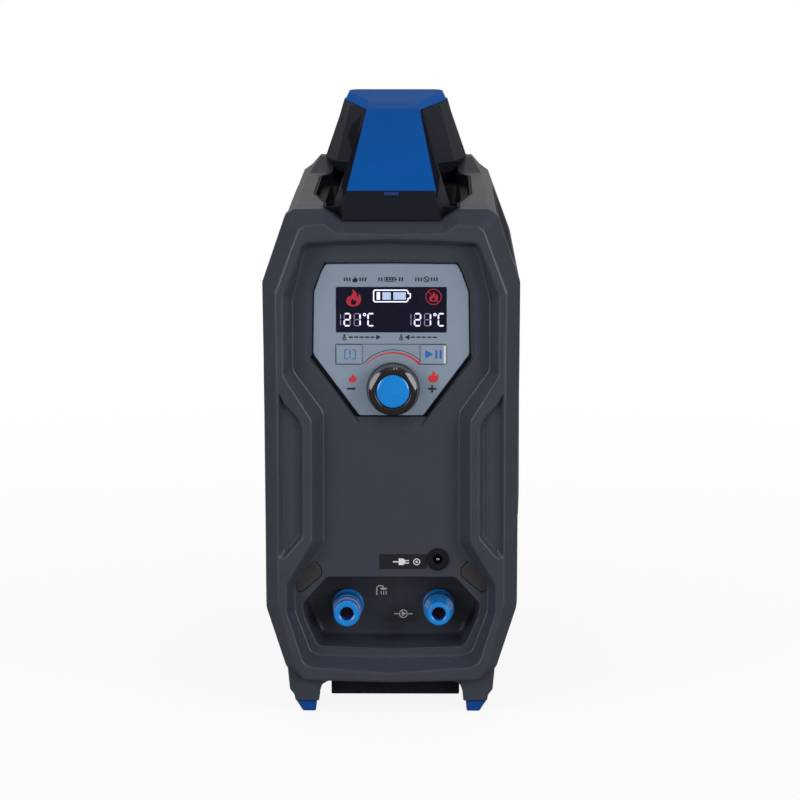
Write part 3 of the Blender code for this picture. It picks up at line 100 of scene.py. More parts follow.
# How far films and marks stand proud of what they lie on, in millimetres
FILM_PROUD = 0.12
LABEL_MARK_PROUD = 0.05
DIM_PROUD = 0.04
LIT_PROUD = 0.05
HEART_PROUD = 0.07
PRINT_PROUD = 0.04
RED_PRINT_PROUD = 0.05
PAINTED_HIGHLIGHT_PROUD = 0.06

# Lines along Y through the knob, the hose fittings and the barrel socket, in millimetres
KNOB_X = 1.2
KNOB_Z = 205.0
SHOWER_X = -28.0
PUMP_X = 30.0
FITTING_Z = 62.6
SOCKET_X = 29.3
SOCKET_Z = 97.0

# Radii of the holes for the knob's spindle, the hose fittings and the barrel socket, in millimetres
SPINDLE_HOLE = 3.4
FITTING_HOLE = 7.3
SOCKET_HOLE = 6.2

KNOB_FLAT_TILT = radians(-36)

# Smallest corner of an outline in mm, and how much of a side the rounding of a corner may take
LEAST_CORNER = 0.3
CORNER_SHARE = 0.47
FILLET_SHARE = 0.49
EASE_SHARE = 0.45

# The camera: focal length and sensor in mm, place in metres and turn in degrees
CAMERA_LENS = 175.2
CAMERA_SENSOR = 36.0
CAMERA_PLACE = (0.026, -2.580, 0.545)
CAMERA_TURN = (81.818, 0.0, 0.487)
CAMERA_NEAR = 0.05
CAMERA_FAR = 60.0


# ---------------------------------------------------------------- shapes


def both_sides(half):
    """A closed outline from the corners of its right half, listed from one end to the other."""
    return half + [(-x, z, radius) for x, z, radius in reversed(half) if x > 0]


def on_side(corners, side):
    """An outline drawn on the right, kept there or mirrored to the left."""
    return [(side * x, z, radius) for x, z, radius in corners]


def rounded(corners, steps=5):
    """Points of a closed outline with rounded (a, b, radius) corners, each with the same count."""
    points = []
    for i, (a, b, radius) in enumerate(corners):
        here = Vector((a, b))
        into = Vector(corners[i - 1][:2]) - here
        out = Vector(corners[(i + 1) % len(corners)][:2]) - here
        turn = pi - into.angle(out)
        reach = max(radius * tan(turn / 2), LEAST_CORNER)
        reach = min(reach, into.length * CORNER_SHARE, out.length * CORNER_SHARE)
        start = here + into.normalized() * reach
        end = here + out.normalized() * reach
        for step in range(steps + 1):
            t = step / steps
            point = start * (1 - t) ** 2 + here * (2 * t * (1 - t)) + end * t ** 2
            points.append(point * MM)
    return points


def grown(corners, amount):
    """An outline's corners moved outwards by an amount in mm; a negative amount shrinks it."""
    spots = [Vector(corner[:2]) for corner in corners]
    area = sum(spots[i - 1].cross(spots[i]) for i in range(len(spots)))
    way = 1 if area > 0 else -1
    moved = []
    for i, spot in enumerate(spots):
        first = (spot - spots[i - 1]).normalized()
        second = (spots[(i + 1) % len(spots)] - spot).normalized()
        out = Vector((first.y + second.y, -first.x - second.x)) * way
        place = spot + out * (amount / (1 + first.dot(second)))
        bulge = amount if first.cross(second) * way > 0 else -amount
        moved.append((place.x, place.y, max(LEAST_CORNER, corners[i][2] + bulge)))
    return moved


def facing(corners, y):
    """The points of a rounded (x, z) outline, stood up at a depth y in mm."""
    return [Vector((point.x, y * MM, point.y)) for point in rounded(corners)]


def lying(corners, z):
    """The points of a rounded (x, y) outline, laid flat at a height z in mm."""
    return [Vector((point.x, point.y, z * MM)) for point in rounded(corners)]


def softened(loops, radii, steps=4):
    """The loops with a fillet in place of each inner one that has a radius, in mm."""
    made = [loops[0]]
    for before_loop, loop, after_loop, radius in zip(loops, loops[1:], loops[2:], radii[1:]):
        if not radius:
            made.append(loop)
            continue
        arcs = []
        for before, here, after in zip(before_loop, loop, after_loop):
            into = before - here
            out = after - here
            reach = min(radius * MM, into.length * FILLET_SHARE, out.length * FILLET_SHARE)
            start = here + into.normalized() * reach
            end = here + out.normalized() * reach
            arcs.append([start.lerp(here, t).lerp(here.lerp(end, t), t)
                         for t in (step / steps for step in range(steps + 1))])
        made.extend([arc[step] for arc in arcs] for step in range(steps + 1))
    return made + [loops[-1]]


def skinned(loops, closed=False):
    """A bmesh through loops of matching points: the first one's edges are extruded to each next."""
    shape = bmesh.new()
    ring = [shape.verts.new(point) for point in loops[0]]
    count = len(ring)
    edges = [shape.edges.new((ring[i - 1], ring[i])) for i in range(count)]
    first = edges
    for loop in loops[1:]:
        made = bmesh.ops.extrude_edge_only(shape, edges=edges)
        fresh = {item for item in made["geom"] if isinstance(item, bmesh.types.BMVert)}
        ring = [next(edge.other_vert(vert) for edge in vert.link_edges
                     if edge.other_vert(vert) in fresh) for vert in ring]
        for vert, point in zip(ring, loop):
            vert.co = point
        edges = [shape.edges.get((ring[i - 1], ring[i])) for i in range(count)]
    if closed:
        bmesh.ops.bridge_loops(shape, edges=first + edges)
    else:
        bmesh.ops.contextual_create(shape, geom=first)
        bmesh.ops.contextual_create(shape, geom=edges)
    return shape


def turned(profile, x, z, sides=64):
    """A bmesh turned about a line along Y through (x, z), from (radius, y) points in mm."""
    shape = bmesh.new()
    closed = profile[0] == profile[-1]
    corners = profile[:-1] if closed else profile
    verts = [shape.verts.new((radius * MM, y * MM, 0)) for radius, y in corners]
    edges = [shape.edges.new(pair) for pair in zip(verts, verts[1:])]
    if closed:
        edges.append(shape.edges.new((verts[-1], verts[0])))
    bmesh.ops.spin(shape, geom=verts + edges, cent=(0, 0, 0), axis=(0, 1, 0), angle=tau,
                   steps=sides, use_merge=True, use_duplicate=False)
    bmesh.ops.remove_doubles(shape, verts=shape.verts, dist=1e-6)
    bmesh.ops.translate(shape, verts=shape.verts, vec=(x * MM, 0, z * MM))
    return shape


def eased(profile, radius, steps=3):
    """A (radius, y) profile with its inner corners rounded off by up to a radius in mm."""
    made = [profile[0]]
    for before, here, after in zip(profile, profile[1:], profile[2:]):
        corner = Vector(here)
        into = Vector(before) - corner
        out = Vector(after) - corner
        reach = min(radius, into.length * EASE_SHARE, out.length * EASE_SHARE)
        start = corner + into.normalized() * reach
        end = corner + out.normalized() * reach
        for step in range(steps + 1):
            t = step / steps
            made.append(tuple(start.lerp(corner, t).lerp(corner.lerp(end, t), t)))
    return made + [profile[-1]]


def layered(rows, lay=facing, closed=False, steps=4):
    """A bmesh through rows of an outline, its depth or height in mm and the fillet there."""
    loops = [lay(outline, level) for outline, level, radius in rows]
    return skinned(softened(loops, [row[2] for row in rows], steps), closed)


def plate(corners, y_front, y_back, edge=0.0):
    """A bmesh of an (x, z) outline between two depths in mm, its front edge rounded."""
    rows = [(corners, y_front, edge), (corners, y_back, 0)]
    if edge:
        rows.insert(0, (grown(corners, -edge - 0.3), y_front, 0))
    return layered(rows)


def as_object(name, shape):
    """An object from a bmesh, with its faces pointing outwards."""
    bmesh.ops.recalc_face_normals(shape, faces=shape.faces)
    mesh = bpy.data.meshes.new(name)
    shape.to_mesh(mesh)
    shape.free()
    obj = bpy.data.objects.new(name, mesh)
    bpy.context.scene.collection.objects.link(obj)
    return obj


def combined(obj, cutters, operation="DIFFERENCE"):
    """Apply Booleans with the cutters' solids, which are then removed."""
    for cutter in cutters:
        change = obj.modifiers.new(cutter.name, "BOOLEAN")
        change.operation = operation
        change.solver = "EXACT"
        change.object = cutter
    view = bpy.context.evaluated_depsgraph_get()
    baked = bpy.data.meshes.new_from_object(obj.evaluated_get(view))
    obj.modifiers.clear()
    obj.data = baked
    for cutter in cutters:
        bpy.data.objects.remove(cutter)


def dressed(obj, finish, slot, body=HEATER, nodes=(), smooth=35.0, weighted=True):
    """Give a new piece its finish, its shading and its place on the heater."""
    obj.data.materials.clear()
    obj.data.materials.append(finish)
    obj.data.shade_smooth()
    obj.data.set_sharp_from_angle(angle=radians(smooth))
    if weighted:
        change = obj.modifiers.new("weighted normals", "WEIGHTED_NORMAL")
        change.keep_sharp = True
    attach(obj, body)
    if nodes:
        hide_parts(*nodes)


def piece(name, shape, finish, slot, **options):
    dressed(as_object(name, shape), finish, slot, **options)


def merged_copy(node):
    """A bmesh of a CAD node with its doubles merged and its flat faces made whole."""
    shape = bmesh.new()
    shape.from_mesh(CAD_NODES[node].data)
    bmesh.ops.remove_doubles(shape, verts=shape.verts, dist=2e-6)
    bmesh.ops.dissolve_limit(shape, angle_limit=radians(1), verts=shape.verts, edges=shape.edges)
    return shape


def bevelled(shape, radius, angle=20.0, segments=3, where=None):
    """Round a bmesh's edges that turn by more than an angle, by a radius in mm."""
    edges = [edge for edge in shape.edges if edge.calc_face_angle(0.0) > radians(angle)
             and (where is None or where(edge))]
    bmesh.ops.bevel(shape, geom=edges, offset=radius * MM, offset_type="OFFSET", segments=segments,
                    profile=0.5, affect="EDGES", clamp_overlap=True, material=-1, loop_slide=True)


def hollow_cutter(name, mouth, floor, y_face, y_floor, lip, toe=0.0, through=False):
    """A cutter for a hollow in a front face: its lip flares out, and its floor can be rounded."""
    wide = grown(mouth, lip * 1.3)
    front = y_face - 0.03
    rows = [(wide, y_face - 3, 0), (wide, front, 0), (mouth, front, lip), (floor, y_floor, toe)]
    if through:
        rows.append((floor, y_floor + 3, 0))
    elif toe:
        rows.append((grown(floor, -toe * 1.3), y_floor, 0))
    return as_object(name, layered(rows))


def drill(radius, x, z, y_front, y_back):
    """A cutter for a round hole along Y."""
    profile = [(0, y_front), (radius, y_front), (radius, y_back), (0, y_back)]
    return as_object("hole", turned(profile, x, z))


# ---------------------------------------------------------------- finishes


class Socket:
    """A node's output in an expression: each operator adds one Math node."""

    def __init__(self, tree, link):
        self.tree = tree
        self.link = link

    def math(self, operation, first, second):
        node = self.tree.nodes.new("ShaderNodeMath")
        node.operation = operation
        for entry, value in zip(node.inputs, (first, second)):
            if isinstance(value, Socket):
                self.tree.links.new(value.link, entry)
            else:
                entry.default_value = value
        return Socket(self.tree, node.outputs[0])

    def __add__(self, other):
        return self.math("ADD", self, other)

    __radd__ = __add__

    def __sub__(self, other):
        return self.math("SUBTRACT", self, other)

    def __rsub__(self, other):
        return self.math("SUBTRACT", other, self)

    def __mul__(self, other):
        return self.math("MULTIPLY", self, other)

    __rmul__ = __mul__


class Finish:
    """A material in the making: its shader, its nodes and the patterns that they draw."""

    def __init__(self, name, tree=None, **constants):
        self.material = None
        if tree is None:
            self.material = bpy.data.materials.new(name)
            self.material.use_nodes = True
            tree = self.material.node_tree
            self.shader = tree.nodes["Principled BSDF"]
            for key, value in constants.items():
                self.shader.inputs[key.replace("_", " ").title().replace("Ior", "IOR")].default_value = value
        self.tree = tree

    def feed(self, entry, value):
        if isinstance(value, Socket):
            self.tree.links.new(value.link, entry)
        else:
            entry.default_value = value

    def node(self, kind, settings=None, sockets=None, out=0):
        """Add a node: its settings first, a ramp's stops among them, and then its sockets."""
        made = self.tree.nodes.new("ShaderNode" + kind)
        for key, value in (settings or {}).items():
            if key == "stops":
                for i, (position, colour) in enumerate(value):
                    stop = made.color_ramp.elements[i] if i < 2 else made.color_ramp.elements.new(position)
                    stop.position = position
                    stop.color = colour
            else:
                setattr(made, key, value)
        for key, value in (sockets or {}).items():
            self.feed(made.inputs[key], value)
        return Socket(self.tree, made.outputs[out])

    def place(self, scale=None):
        """Object coordinates, stretched where a pattern runs one way."""
        raw = self.node("TexCoord", out="Object")
        return self.node("Mapping", None, {"Vector": raw, "Scale": scale}) if scale else raw

    def noise(self, scale, detail=2.0, rough=0.5, vector=None):
        entries = {"Vector": vector or self.place(), "Scale": scale, "Detail": detail, "Roughness": rough}
        return self.node("TexNoise", None, entries)

    def step(self, value, low, high):
        """0 below low and 1 above high, with a smooth change between; it falls if low is larger."""
        entries = {"Value": value, "From Min": low, "From Max": high}
        return self.node("MapRange", {"interpolation_type": "SMOOTHSTEP"}, entries)

    def mix(self, amount, first, second):
        """Two colours mixed; a plain colour is three numbers."""
        first, second = (value if isinstance(value, Socket) else (*value, 1.0) for value in (first, second))
        return self.node("Mix", {"data_type": "RGBA"}, {0: amount, 6: first, 7: second}, out=2)

    def specks(self, scale, size):
        """Small scattered spots, as of dust."""
        spots = self.node("TexVoronoi", None, {"Vector": self.place(), "Scale": scale, "Randomness": 1.0})
        some = self.step(self.noise(scale * 0.13, 1.0), 0.55, 0.62)
        return self.step(spots, size, size * 0.3) * some

    def bump(self, height, strength, distance):
        entries = {"Height": height, "Strength": strength, "Distance": distance}
        return self.node("Bump", None, entries)

    def surface(self, **entries):
        """Feed the shader's sockets and give the material."""
        for key, value in entries.items():
            self.feed(self.shader.inputs[key.replace("_", " ").title()], value)
        return self.material


def shade(colour, amount):
    return tuple(min(1.0, part * amount) for part in colour[:3])


def moulded(name, colour, roughness=0.5, grain=0.3, dust=0.25, coat=0.0, spread=0.10, shine=0.5):
    """Moulded plastic: fine spark texture, faint flow clouds, handling marks and a little dust."""
    build = Finish(name, coat_weight=coat, coat_roughness=0.15, specular_ior_level=shine)
    clouds = build.noise(28.0, 4.0, 0.6)
    rub = build.noise(9.0, 3.0, 0.55)
    mottle = build.noise(310.0, 3.0, 0.7, build.place((1, 1, 1.6)))
    patches = clouds * 0.5 + mottle * 0.5
    base = build.mix(patches, shade(colour, 1 - spread * 2), shade(colour, 1 + spread * 2))
    powder = build.specks(420.0, 0.10) * dust
    base = build.mix(powder, base, shade(colour, 4.0))
    fine = build.noise(2100.0, 2.0, 0.6)
    pits = build.noise(820.0, 1.0)
    skin = build.bump(fine * 0.6 + pits * 0.4, grain, 0.00012)
    rough = roughness - 0.07 + clouds * 0.08 + rub * 0.08
    return build.surface(base_color=base, roughness=rough, normal=skin)


def rubbery(name, colour):
    """Soft rubber: matt, with a faint bloom and mould grain."""
    build = Finish(name, specular_ior_level=0.12)
    bloom = build.noise(90.0, 4.0, 0.6)
    base = build.mix(bloom, shade(colour, 0.85), shade(colour, 1.2))
    skin = build.bump(build.noise(1500.0, 2.0), 0.35, 0.00012)
    return build.surface(base_color=base, roughness=0.58 + bloom * 0.16, normal=skin)


def metallic(name, colour, roughness, stretch=None, stain=0.15):
    """Bare metal: drawn lines along its length and patches of tarnish."""
    build = Finish(name, metallic=1.0)
    lines = build.noise(260.0, 3.0, 0.6, build.place(stretch))
    patches = build.noise(24.0, 4.0, 0.6)
    base = build.mix(patches * stain * 2, colour, shade(colour, 0.55))
    rough = roughness - 0.08 + lines * 0.16 + patches * 0.06
    return build.surface(base_color=base, roughness=rough, normal=build.bump(lines, 0.25, 0.0001))


def spangled(name, colour):
    """Zinc coated sheet with its crystal pattern."""
    build = Finish(name, metallic=1.0)
    crystals = build.node("TexVoronoi", None, {"Vector": build.place(), "Scale": 130.0}, out="Color")
    level = build.node("SeparateColor", None, {"Color": crystals})
    base = build.mix(level, shade(colour, 0.8), shade(colour, 1.12))
    bump = build.bump(level, 0.1, 0.0001)
    return build.surface(base_color=base, roughness=0.32 + level * 0.2, normal=bump)


def printed(name, colour):
    """Screen printed ink, with a slightly uneven film."""
    build = Finish(name)
    film = build.noise(700.0, 3.0, 0.6)
    base = build.mix(film, shade(colour, 0.9), shade(colour, 1.08))
    bump = build.bump(film, 0.15, 0.00004)
    return build.surface(base_color=base, roughness=0.40 + film * 0.1, normal=bump)


def glowing(name, colour, strength=1.0):
    """A lit mark behind the window: brighter in its middle than where the light leaks away."""
    build = Finish(name, emission_strength=strength)
    cells = build.noise(900.0, 2.0, 0.5)
    lit = build.mix(cells, shade(colour, 0.86), colour[:3])
    roughness = 0.35 + cells * 0.05
    return build.surface(base_color=(0.01, 0.01, 0.02, 1.0), emission_color=lit, roughness=roughness)


def windowed(name, colour):
    """The display's dark window: glossy, faintly clouded by the cells behind it."""
    build = Finish(name, coat_weight=0.6, coat_roughness=0.06)
    cells = build.noise(160.0, 3.0, 0.6)
    smears = build.noise(26.0, 3.0, 0.6)
    base = build.mix(cells, shade(colour, 0.7), shade(colour, 1.35))
    return build.surface(base_color=base, roughness=0.16 + smears * 0.14)


def boarded(name, colour):
    """A printed circuit board: solder mask with copper tracks under it."""
    build = Finish(name)
    tracks = build.node("TexVoronoi", None, {"Vector": build.place(), "Scale": 190.0}, out="Color")
    level = build.node("SeparateColor", None, {"Color": tracks})
    base = build.mix(build.step(level, 0.62, 0.66), colour, shade(colour, 1.9))
    base = build.mix(build.step(level, 0.93, 0.94), base, (0.75, 0.72, 0.62))
    return build.surface(base_color=base, roughness=0.3 + level * 0.2, normal=build.bump(level, 0.3, 0.0001))


class HeaterFinishes:
    """Each finish is made once, when a piece first asks for it."""

    made = {}

    def __init__(self, look):
        self.recipes = {
            "shell": lambda: moulded("charcoal shell plastic", look.shell_colour, 0.39, 0.35, 0.35),
            "dark": lambda: moulded("black moulded plastic", look.dark_colour, 0.5, 0.3, 0.3, shine=0.16),
            "housing": lambda: moulded("grip housing plastic", shade(look.dark_colour, 2.2), 0.55, 0.4, 0.4),
            "handle": lambda: moulded("blue handle plastic", look.handle_colour, 0.5, 0.2, 0.12, shine=0.02),
            "tab": lambda: moulded("dark blue tab", shade(look.handle_colour, 0.3), 0.5, 0.2, 0.1),
            "foot": lambda: rubbery("blue foot rubber", look.foot_colour),
            "gloss_blue": lambda: moulded(
                "gloss blue plastic", look.gloss_colour, 0.22, 0.05, 0.05, coat=0.6),
            "cap": lambda: moulded("knob cap plastic", look.gloss_colour, 0.15, 0.03, 0.03, coat=0.8),
            "panel": lambda: moulded("panel grey", look.panel_colour, 0.42, 0.08, 0.1, spread=0.03),
            "key": lambda: moulded("key grey", look.key_colour, 0.38, 0.06, 0.05, spread=0.03),
            "window": lambda: windowed("display window", look.window_colour),
            "knob": lambda: moulded("knob plastic", look.knob_colour, 0.24, 0.06, 0.25, coat=0.5),
            # Near-black ring round the panel: painted shade of the deep gap there, built as a thin rubber
            # ring
            "gap_shade": lambda: rubbery("panel gasket", (0.003, 0.004, 0.008)),
            "tick": lambda: printed("pale tick", (0.30, 0.29, 0.30)),
            # Pale film on the knob's upper flats: a painted reflection of the front lamps
            "flat": lambda: moulded("knob flat painted reflection", (0.30, 0.30, 0.31), 0.25, 0.04, 0.2, coat=0.4),
            # Dark blue bands in the fittings' grooves: painted shade, not parts of their own
            "groove": lambda: rubbery("fitting groove", (0.003, 0.035, 0.15)),
            "cover": lambda: moulded("screw cover plastic", look.cover_colour, 0.62, 0.9, 0.3),
            "seal_red": lambda: rubbery("red seal rubber", (0.62, 0.16, 0.30)),
            "seal_blue": lambda: rubbery("blue seal rubber", (0.01, 0.16, 0.48)),
            "steel": lambda: metallic("steel", (0.55, 0.55, 0.55), 0.32),
            "zinc": lambda: spangled("zinc coated sheet", (0.50, 0.52, 0.54)),
            "copper": lambda: metallic("copper", (0.72, 0.36, 0.22), 0.33, (1, 1, 0.1), 0.3),
            "brass": lambda: metallic("brass", (0.70, 0.52, 0.22), 0.33, (1, 0.1, 1), 0.25),
            "valve": lambda: metallic("cast valve metal", (0.45, 0.44, 0.42), 0.5),
            "board": lambda: boarded("circuit board", (0.02, 0.16, 0.07)),
            "cell": lambda: moulded("battery wrap", (0.05, 0.10, 0.30), 0.4, 0.05, 0.1),
            "ceramic": lambda: moulded("ceramic", (0.80, 0.78, 0.72), 0.45, 0.3, 0.1, spread=0.04),
            "ink_dark": lambda: printed("dark print", (0.010, 0.011, 0.018)),
            "ink_red": lambda: printed("red print", (0.56, 0.025, 0.035)),
            "ink_blue": lambda: printed("blue print", (0.006, 0.11, 0.42)),
            # White print on the labels; the same finish paints the highlight bar on the start key
            "white_ink_and_painted_highlight": lambda: printed("white print and painted highlight", (0.62, 0.64, 0.66)),
            "label": lambda: moulded("label film", (0.010, 0.011, 0.014), 0.42, 0.5, 0.8),
            "bay_label": lambda: moulded("bay label film", (0.030, 0.034, 0.046), 0.42, 0.5, 1.2),
            "lit_white": lambda: glowing("lit white segment", look.lit_colour, 1.6),
            "lit_cell": lambda: glowing("lit battery cell", (0.52, 0.64, 0.88)),
            "lit_dim": lambda: glowing("unlit segment", (0.31, 0.28, 0.47)),
            "lit_red": lambda: glowing("lit red sign", (0.42, 0.016, 0.028)),
        }

    def __getitem__(self, key):
        if key not in self.made:
            self.made[key] = self.recipes[key]()
        return self.made[key]


# ---------------------------------------------------------------- outlines, right halves, in mm

BODY_EDGE = [
    (0, 311.2, 1), (30.8, 311.2, 2), (43, 318, 3), (60.6, 318, 4), (66.2, 314.2, 4), (80.5, 272.4, 6),
    (79.7, 216, 1), (79.4, 187, 1), (78.9, 109.5, 1), (78.8, 81.3, 1), (78.7, 66.0, 7),
    (66.6, 28.6, 6), (60, 19.5, 4), (0, 18.5, 1),
]
RIDGE = [
    (0, 303.1, 1), (33, 304, 4), (40.4, 309, 4), (53.5, 308.5, 4), (57.5, 305.5, 4), (72.2, 266.2, 8),
    (71.6, 216, 1), (71.5, 187, 1), (71.2, 109.5, 1), (71.1, 82, 1), (71.0, 70, 9),
    (60.5, 28.5, 9), (54, 21.6, 6), (0, 20.3, 1),
]
RIM_EDGE = [
    (0, 300.6, 1), (30, 299.6, 1), (41, 299.0, 1), (53.2, 298.2, 4), (55.5, 295.6, 4), (67.1, 265, 7),
    (67.1, 214.6, 7), (49.6, 187, 7), (49.6, 109.5, 7), (65.4, 82.6, 7), (65.4, 64.5, 7),
    (55, 32.2, 6), (49, 29.6, 6), (0, 25.9, 1),
]
FLOOR_EDGE = [
    (0, 296.5, 1), (30, 295.6, 1), (41, 295.2, 1), (52.6, 294.4, 5), (54.6, 291, 5), (62, 261, 8),
    (62, 217, 8), (42.8, 190.5, 8), (42.8, 107.2, 8), (61.4, 80.4, 6), (61, 63.4, 6),
    (51.6, 38, 7), (45.5, 35.3, 7), (0, 34.2, 1),
]
HOLLOW_EDGE = [
    (0, 307.2, 1), (30, 307.2, 1), (41, 307.2, 1), (59, 307.2, 3), (62, 305, 3), (76.6, 271, 6),
    (76.0, 216, 1), (75.7, 187, 1), (75.0, 109.5, 1), (74.8, 81.3, 1), (74.7, 68.4, 6),
    (63, 31.5, 5), (57, 22.5, 4), (0, 21.8, 1),
]
POCKET_MOUTH = [
    (70.6, 205.4, 3), (67.2, 198.4, 4), (57.4, 187.6, 6), (55.0, 181.6, 6), (55.2, 112.4, 6),
    (70.4, 95.4, 3),
]
POCKET_FLOOR = [
    (67.4, 201.0, 2), (65.9, 195.4, 4), (59.2, 186.6, 4), (57.6, 181.0, 4), (57.8, 113.6, 4),
    (67.4, 101.4, 2),
]
SURROUND = [
    (0, 286.8, 1), (43.6, 285.4, 3), (48.6, 280, 4), (52.1, 265.5, 4), (53, 226.2, 2), (52.2, 224.4, 2),
    (18.5, 180.7, 3), (0, 180.7, 1),
]
PANEL_EDGE = [
    (0, 283.2, 1), (40.8, 282.9, 2), (43.8, 277, 2), (47.9, 265.5, 2), (48.5, 227.4, 1), (47.8, 225.8, 1),
    (19.8, 188.3, 2), (0, 188.3, 1),
]
GAP_SHADE_EDGE = [
    (0, 284.4, 1), (41.6, 284.1, 2), (44.8, 277.6, 2), (49.1, 265.8, 2), (49.8, 226.9, 1), (50.6, 224.6, 2),
    (22.6, 187.2, 2), (0, 187.2, 1),
]
BAY_MOUTH = [(0, 85.6, 1), (40.5, 85.5, 4), (56, 68.2, 5), (54.4, 59.4, 6), (46.3, 41.4, 6), (0, 39.7, 1)]
BAY_BACK = [(0, 83.8, 1), (39.8, 83.8, 3), (53.8, 67.4, 4), (52.2, 60, 5), (44.6, 43.2, 5), (0, 42.4, 1)]
SCREW_CAP = [
    (48.9, 96.8, 4), (59.5, 84.1, 2.5), (60.4, 77.8, 2.5), (56.8, 75.7, 2.5), (44.1, 86.4, 2.5),
    (44.1, 90.8, 4),
]
LEG = [
    (65.7, 33, 1), (65.2, 27, 2), (64, 14.5, 1.2), (61.2, 10.8, 1.2), (60.4, 7, 0.8), (45.5, 7, 0.8),
    (45.0, 13, 2), (43.6, 17.4, 3), (39.8, 19.6, 3), (34, 20.4, 1), (34, 33, 1),
]


def front_frame(finish):
    """The rounded bezel with its rails, pockets and legs."""
    floor = both_sides(FLOOR_EDGE)
    hem = grown(floor, -2.6)
    hollow = both_sides(HOLLOW_EDGE)
    edge = [(x + (0.9 if x > 65 and z < 230 else 0.0), z, radius) for x, z, radius in BODY_EDGE]
    flared = both_sides(edge)
    rows = [
        (grown(flared, -0.8), FRAME_BACK_Y, 0),
        (flared, FRAME_BACK_Y, 0.6),
        (both_sides(BODY_EDGE), FACE_Y, 1.2),
        (both_sides(RIDGE), RIM_Y, 1.7),
        (both_sides(RIM_EDGE), RIM_Y, 1.5),
        (floor, FACE_Y - 0.02, 2.2),
        (hem, FACE_Y - 0.02, 0),
        (hem, FACE_Y + 0.6, 0),
        (grown(hollow, -1.0), FACE_Y + 0.9, 0),
        (hollow, FRAME_BACK_Y, 0),
    ]
    bezel = as_object("bezel", layered(rows, closed=True))
    combined(bezel, [hollow_cutter("pocket", on_side(POCKET_MOUTH, side), on_side(POCKET_FLOOR, side), RIM_Y,
                                   RIM_Y + 4.0, lip=1.5, toe=0.8) for side in (-1, 1)])
    combined(bezel, [as_object("leg", plate(on_side(LEG, side), LEG_Y, FRAME_BACK_Y, edge=1.5))
                     for side in (-1, 1)], "UNION")
    dressed(bezel, finish["shell"], "charcoal", nodes=["front_frame"])


def fascia(finish):
    """The recessed face: flared seats for the panel, the bay and the screw covers."""
    face = as_object("face_plate", plate(grown(both_sides(FLOOR_EDGE), 2.0), FACE_Y, FASCIA_BACK_Y))
    gap_shade = both_sides(GAP_SHADE_EDGE)
    panel = both_sides(PANEL_EDGE)
    mouth = both_sides(BAY_MOUTH)
    behind_face = FASCIA_BACK_Y + 0.2
    cutters = [
        hollow_cutter("seat", both_sides(SURROUND), grown(gap_shade, -0.2), FACE_Y, behind_face, lip=0.6,
                      through=True),
        hollow_cutter("mouth", mouth, grown(mouth, -0.1), FACE_Y, behind_face, lip=1.1, through=True),
    ]
    for side in (-1, 1):
        cap = on_side(SCREW_CAP, side)
        seat = hollow_cutter("seat", grown(cap, 0.45), grown(cap, 0.4), FACE_Y, FACE_Y + 2.4, lip=0.5)
        cutters.append(seat)
    cutters.append(drill(SOCKET_HOLE, SOCKET_X, SOCKET_Z, -172, -160))
    combined(face, cutters)
    dressed(face, finish["shell"], "charcoal", nodes=["front_fascia"])
    # A near-black ring fills the gap round the panel: painted shade where the gap is deep.
    rows = [(grown(panel, 0.4), PANEL_Y + 1.6, 0), (grown(panel, 0.5), PANEL_Y + 0.4, 0),
            (gap_shade, PANEL_Y + 0.2, 0), (gap_shade, PANEL_Y + 1.6, 0)]
    piece("panel_gap_shade", layered(rows, closed=True), finish["gap_shade"], "black")
    for side, word in ((-1, "left"), (1, "right")):
        cap = plate(on_side(SCREW_CAP, side), FACE_Y - 0.4, FACE_Y + 2.2, edge=0.7)
        piece(f"screw_cap_{word}", cap, finish["cover"], "cover_grey", nodes=[f"screw_cover_{word}"])


def bay(finish):
    """The connection bay's pan."""
    mouth = grown(both_sides(BAY_MOUTH), -0.1)
    back = both_sides(BAY_BACK)
    front_y = FASCIA_BACK_Y + 0.3
    rows = [(grown(back, -6.5), BAY_BACK_Y, 0), (back, BAY_BACK_Y, 6.2), (mouth, front_y, 0),
            (grown(mouth, 2.0), front_y, 0), (grown(back, 2.0), BAY_BACK_Y + 2.0, 0)]
    pan = as_object("bay_pan", layered(rows, steps=6))
    combined(pan, [drill(FITTING_HOLE, x, FITTING_Z, -140, -130) for x in (SHOWER_X, PUMP_X)])
    dressed(pan, finish["shell"], "black", nodes=["connection_bay"])


# Each fitting's (radius, distance behind its nose) steps, up to the flange that both have
FITTING_STEPS = {
    "shower": [
        (4.4, 0.4), (5.2, 0), (7.4, 0), (8.3, 0.8), (8.3, 4.0), (7.0, 4.2), (7.0, 5.4), (8.4, 5.6),
        (8.4, 8.0), (7.2, 8.1), (7.2, 10.3), (8.6, 10.4), (8.8, 14.0), (7.2, 14.3), (7.2, 15.7),
        (9.1, 16.0), (9.3, 24.0),
    ],
    "pump": [
        (4.4, 0.4), (5.0, 0), (6.7, 0), (7.5, 0.8), (7.5, 3.2), (8.0, 3.35), (8.0, 7.0), (8.5, 7.15),
        (8.5, 10.8), (9.0, 10.95), (9.0, 14.6), (9.5, 14.75), (9.7, 24.2),
    ],
}
FITTING_FLANGE = [
    (7.2, 24.4), (7.2, 29.6), (10.0, 29.8), (10.2, 30.4), (10.2, 34.7), (6.9, 34.7), (6.9, 44.9),
    (4.4, 44.9),
]
# Each dark band of painted shade in a groove: its inner radius, outer radius, start and end
FITTING_SHADE_BANDS = {
    "shower": [(6.6, 7.76, 4.3, 5.3), (6.8, 7.96, 14.4, 15.6)],
    "pump": [(6.46 + ring * 0.5, 7.62 + ring * 0.5, 2.2 + ring * 3.8, 3.3 + ring * 3.8)
             for ring in range(4)],
}
# Each seal's finish, radius, distance behind the nose, thickness across and thickness along
FITTING_SEALS = {"shower": ("seal_red", 7.95, 9.2, 0.65, 0.715), "pump": ("seal_blue", 7.6, 27, 0.5, 0.5)}


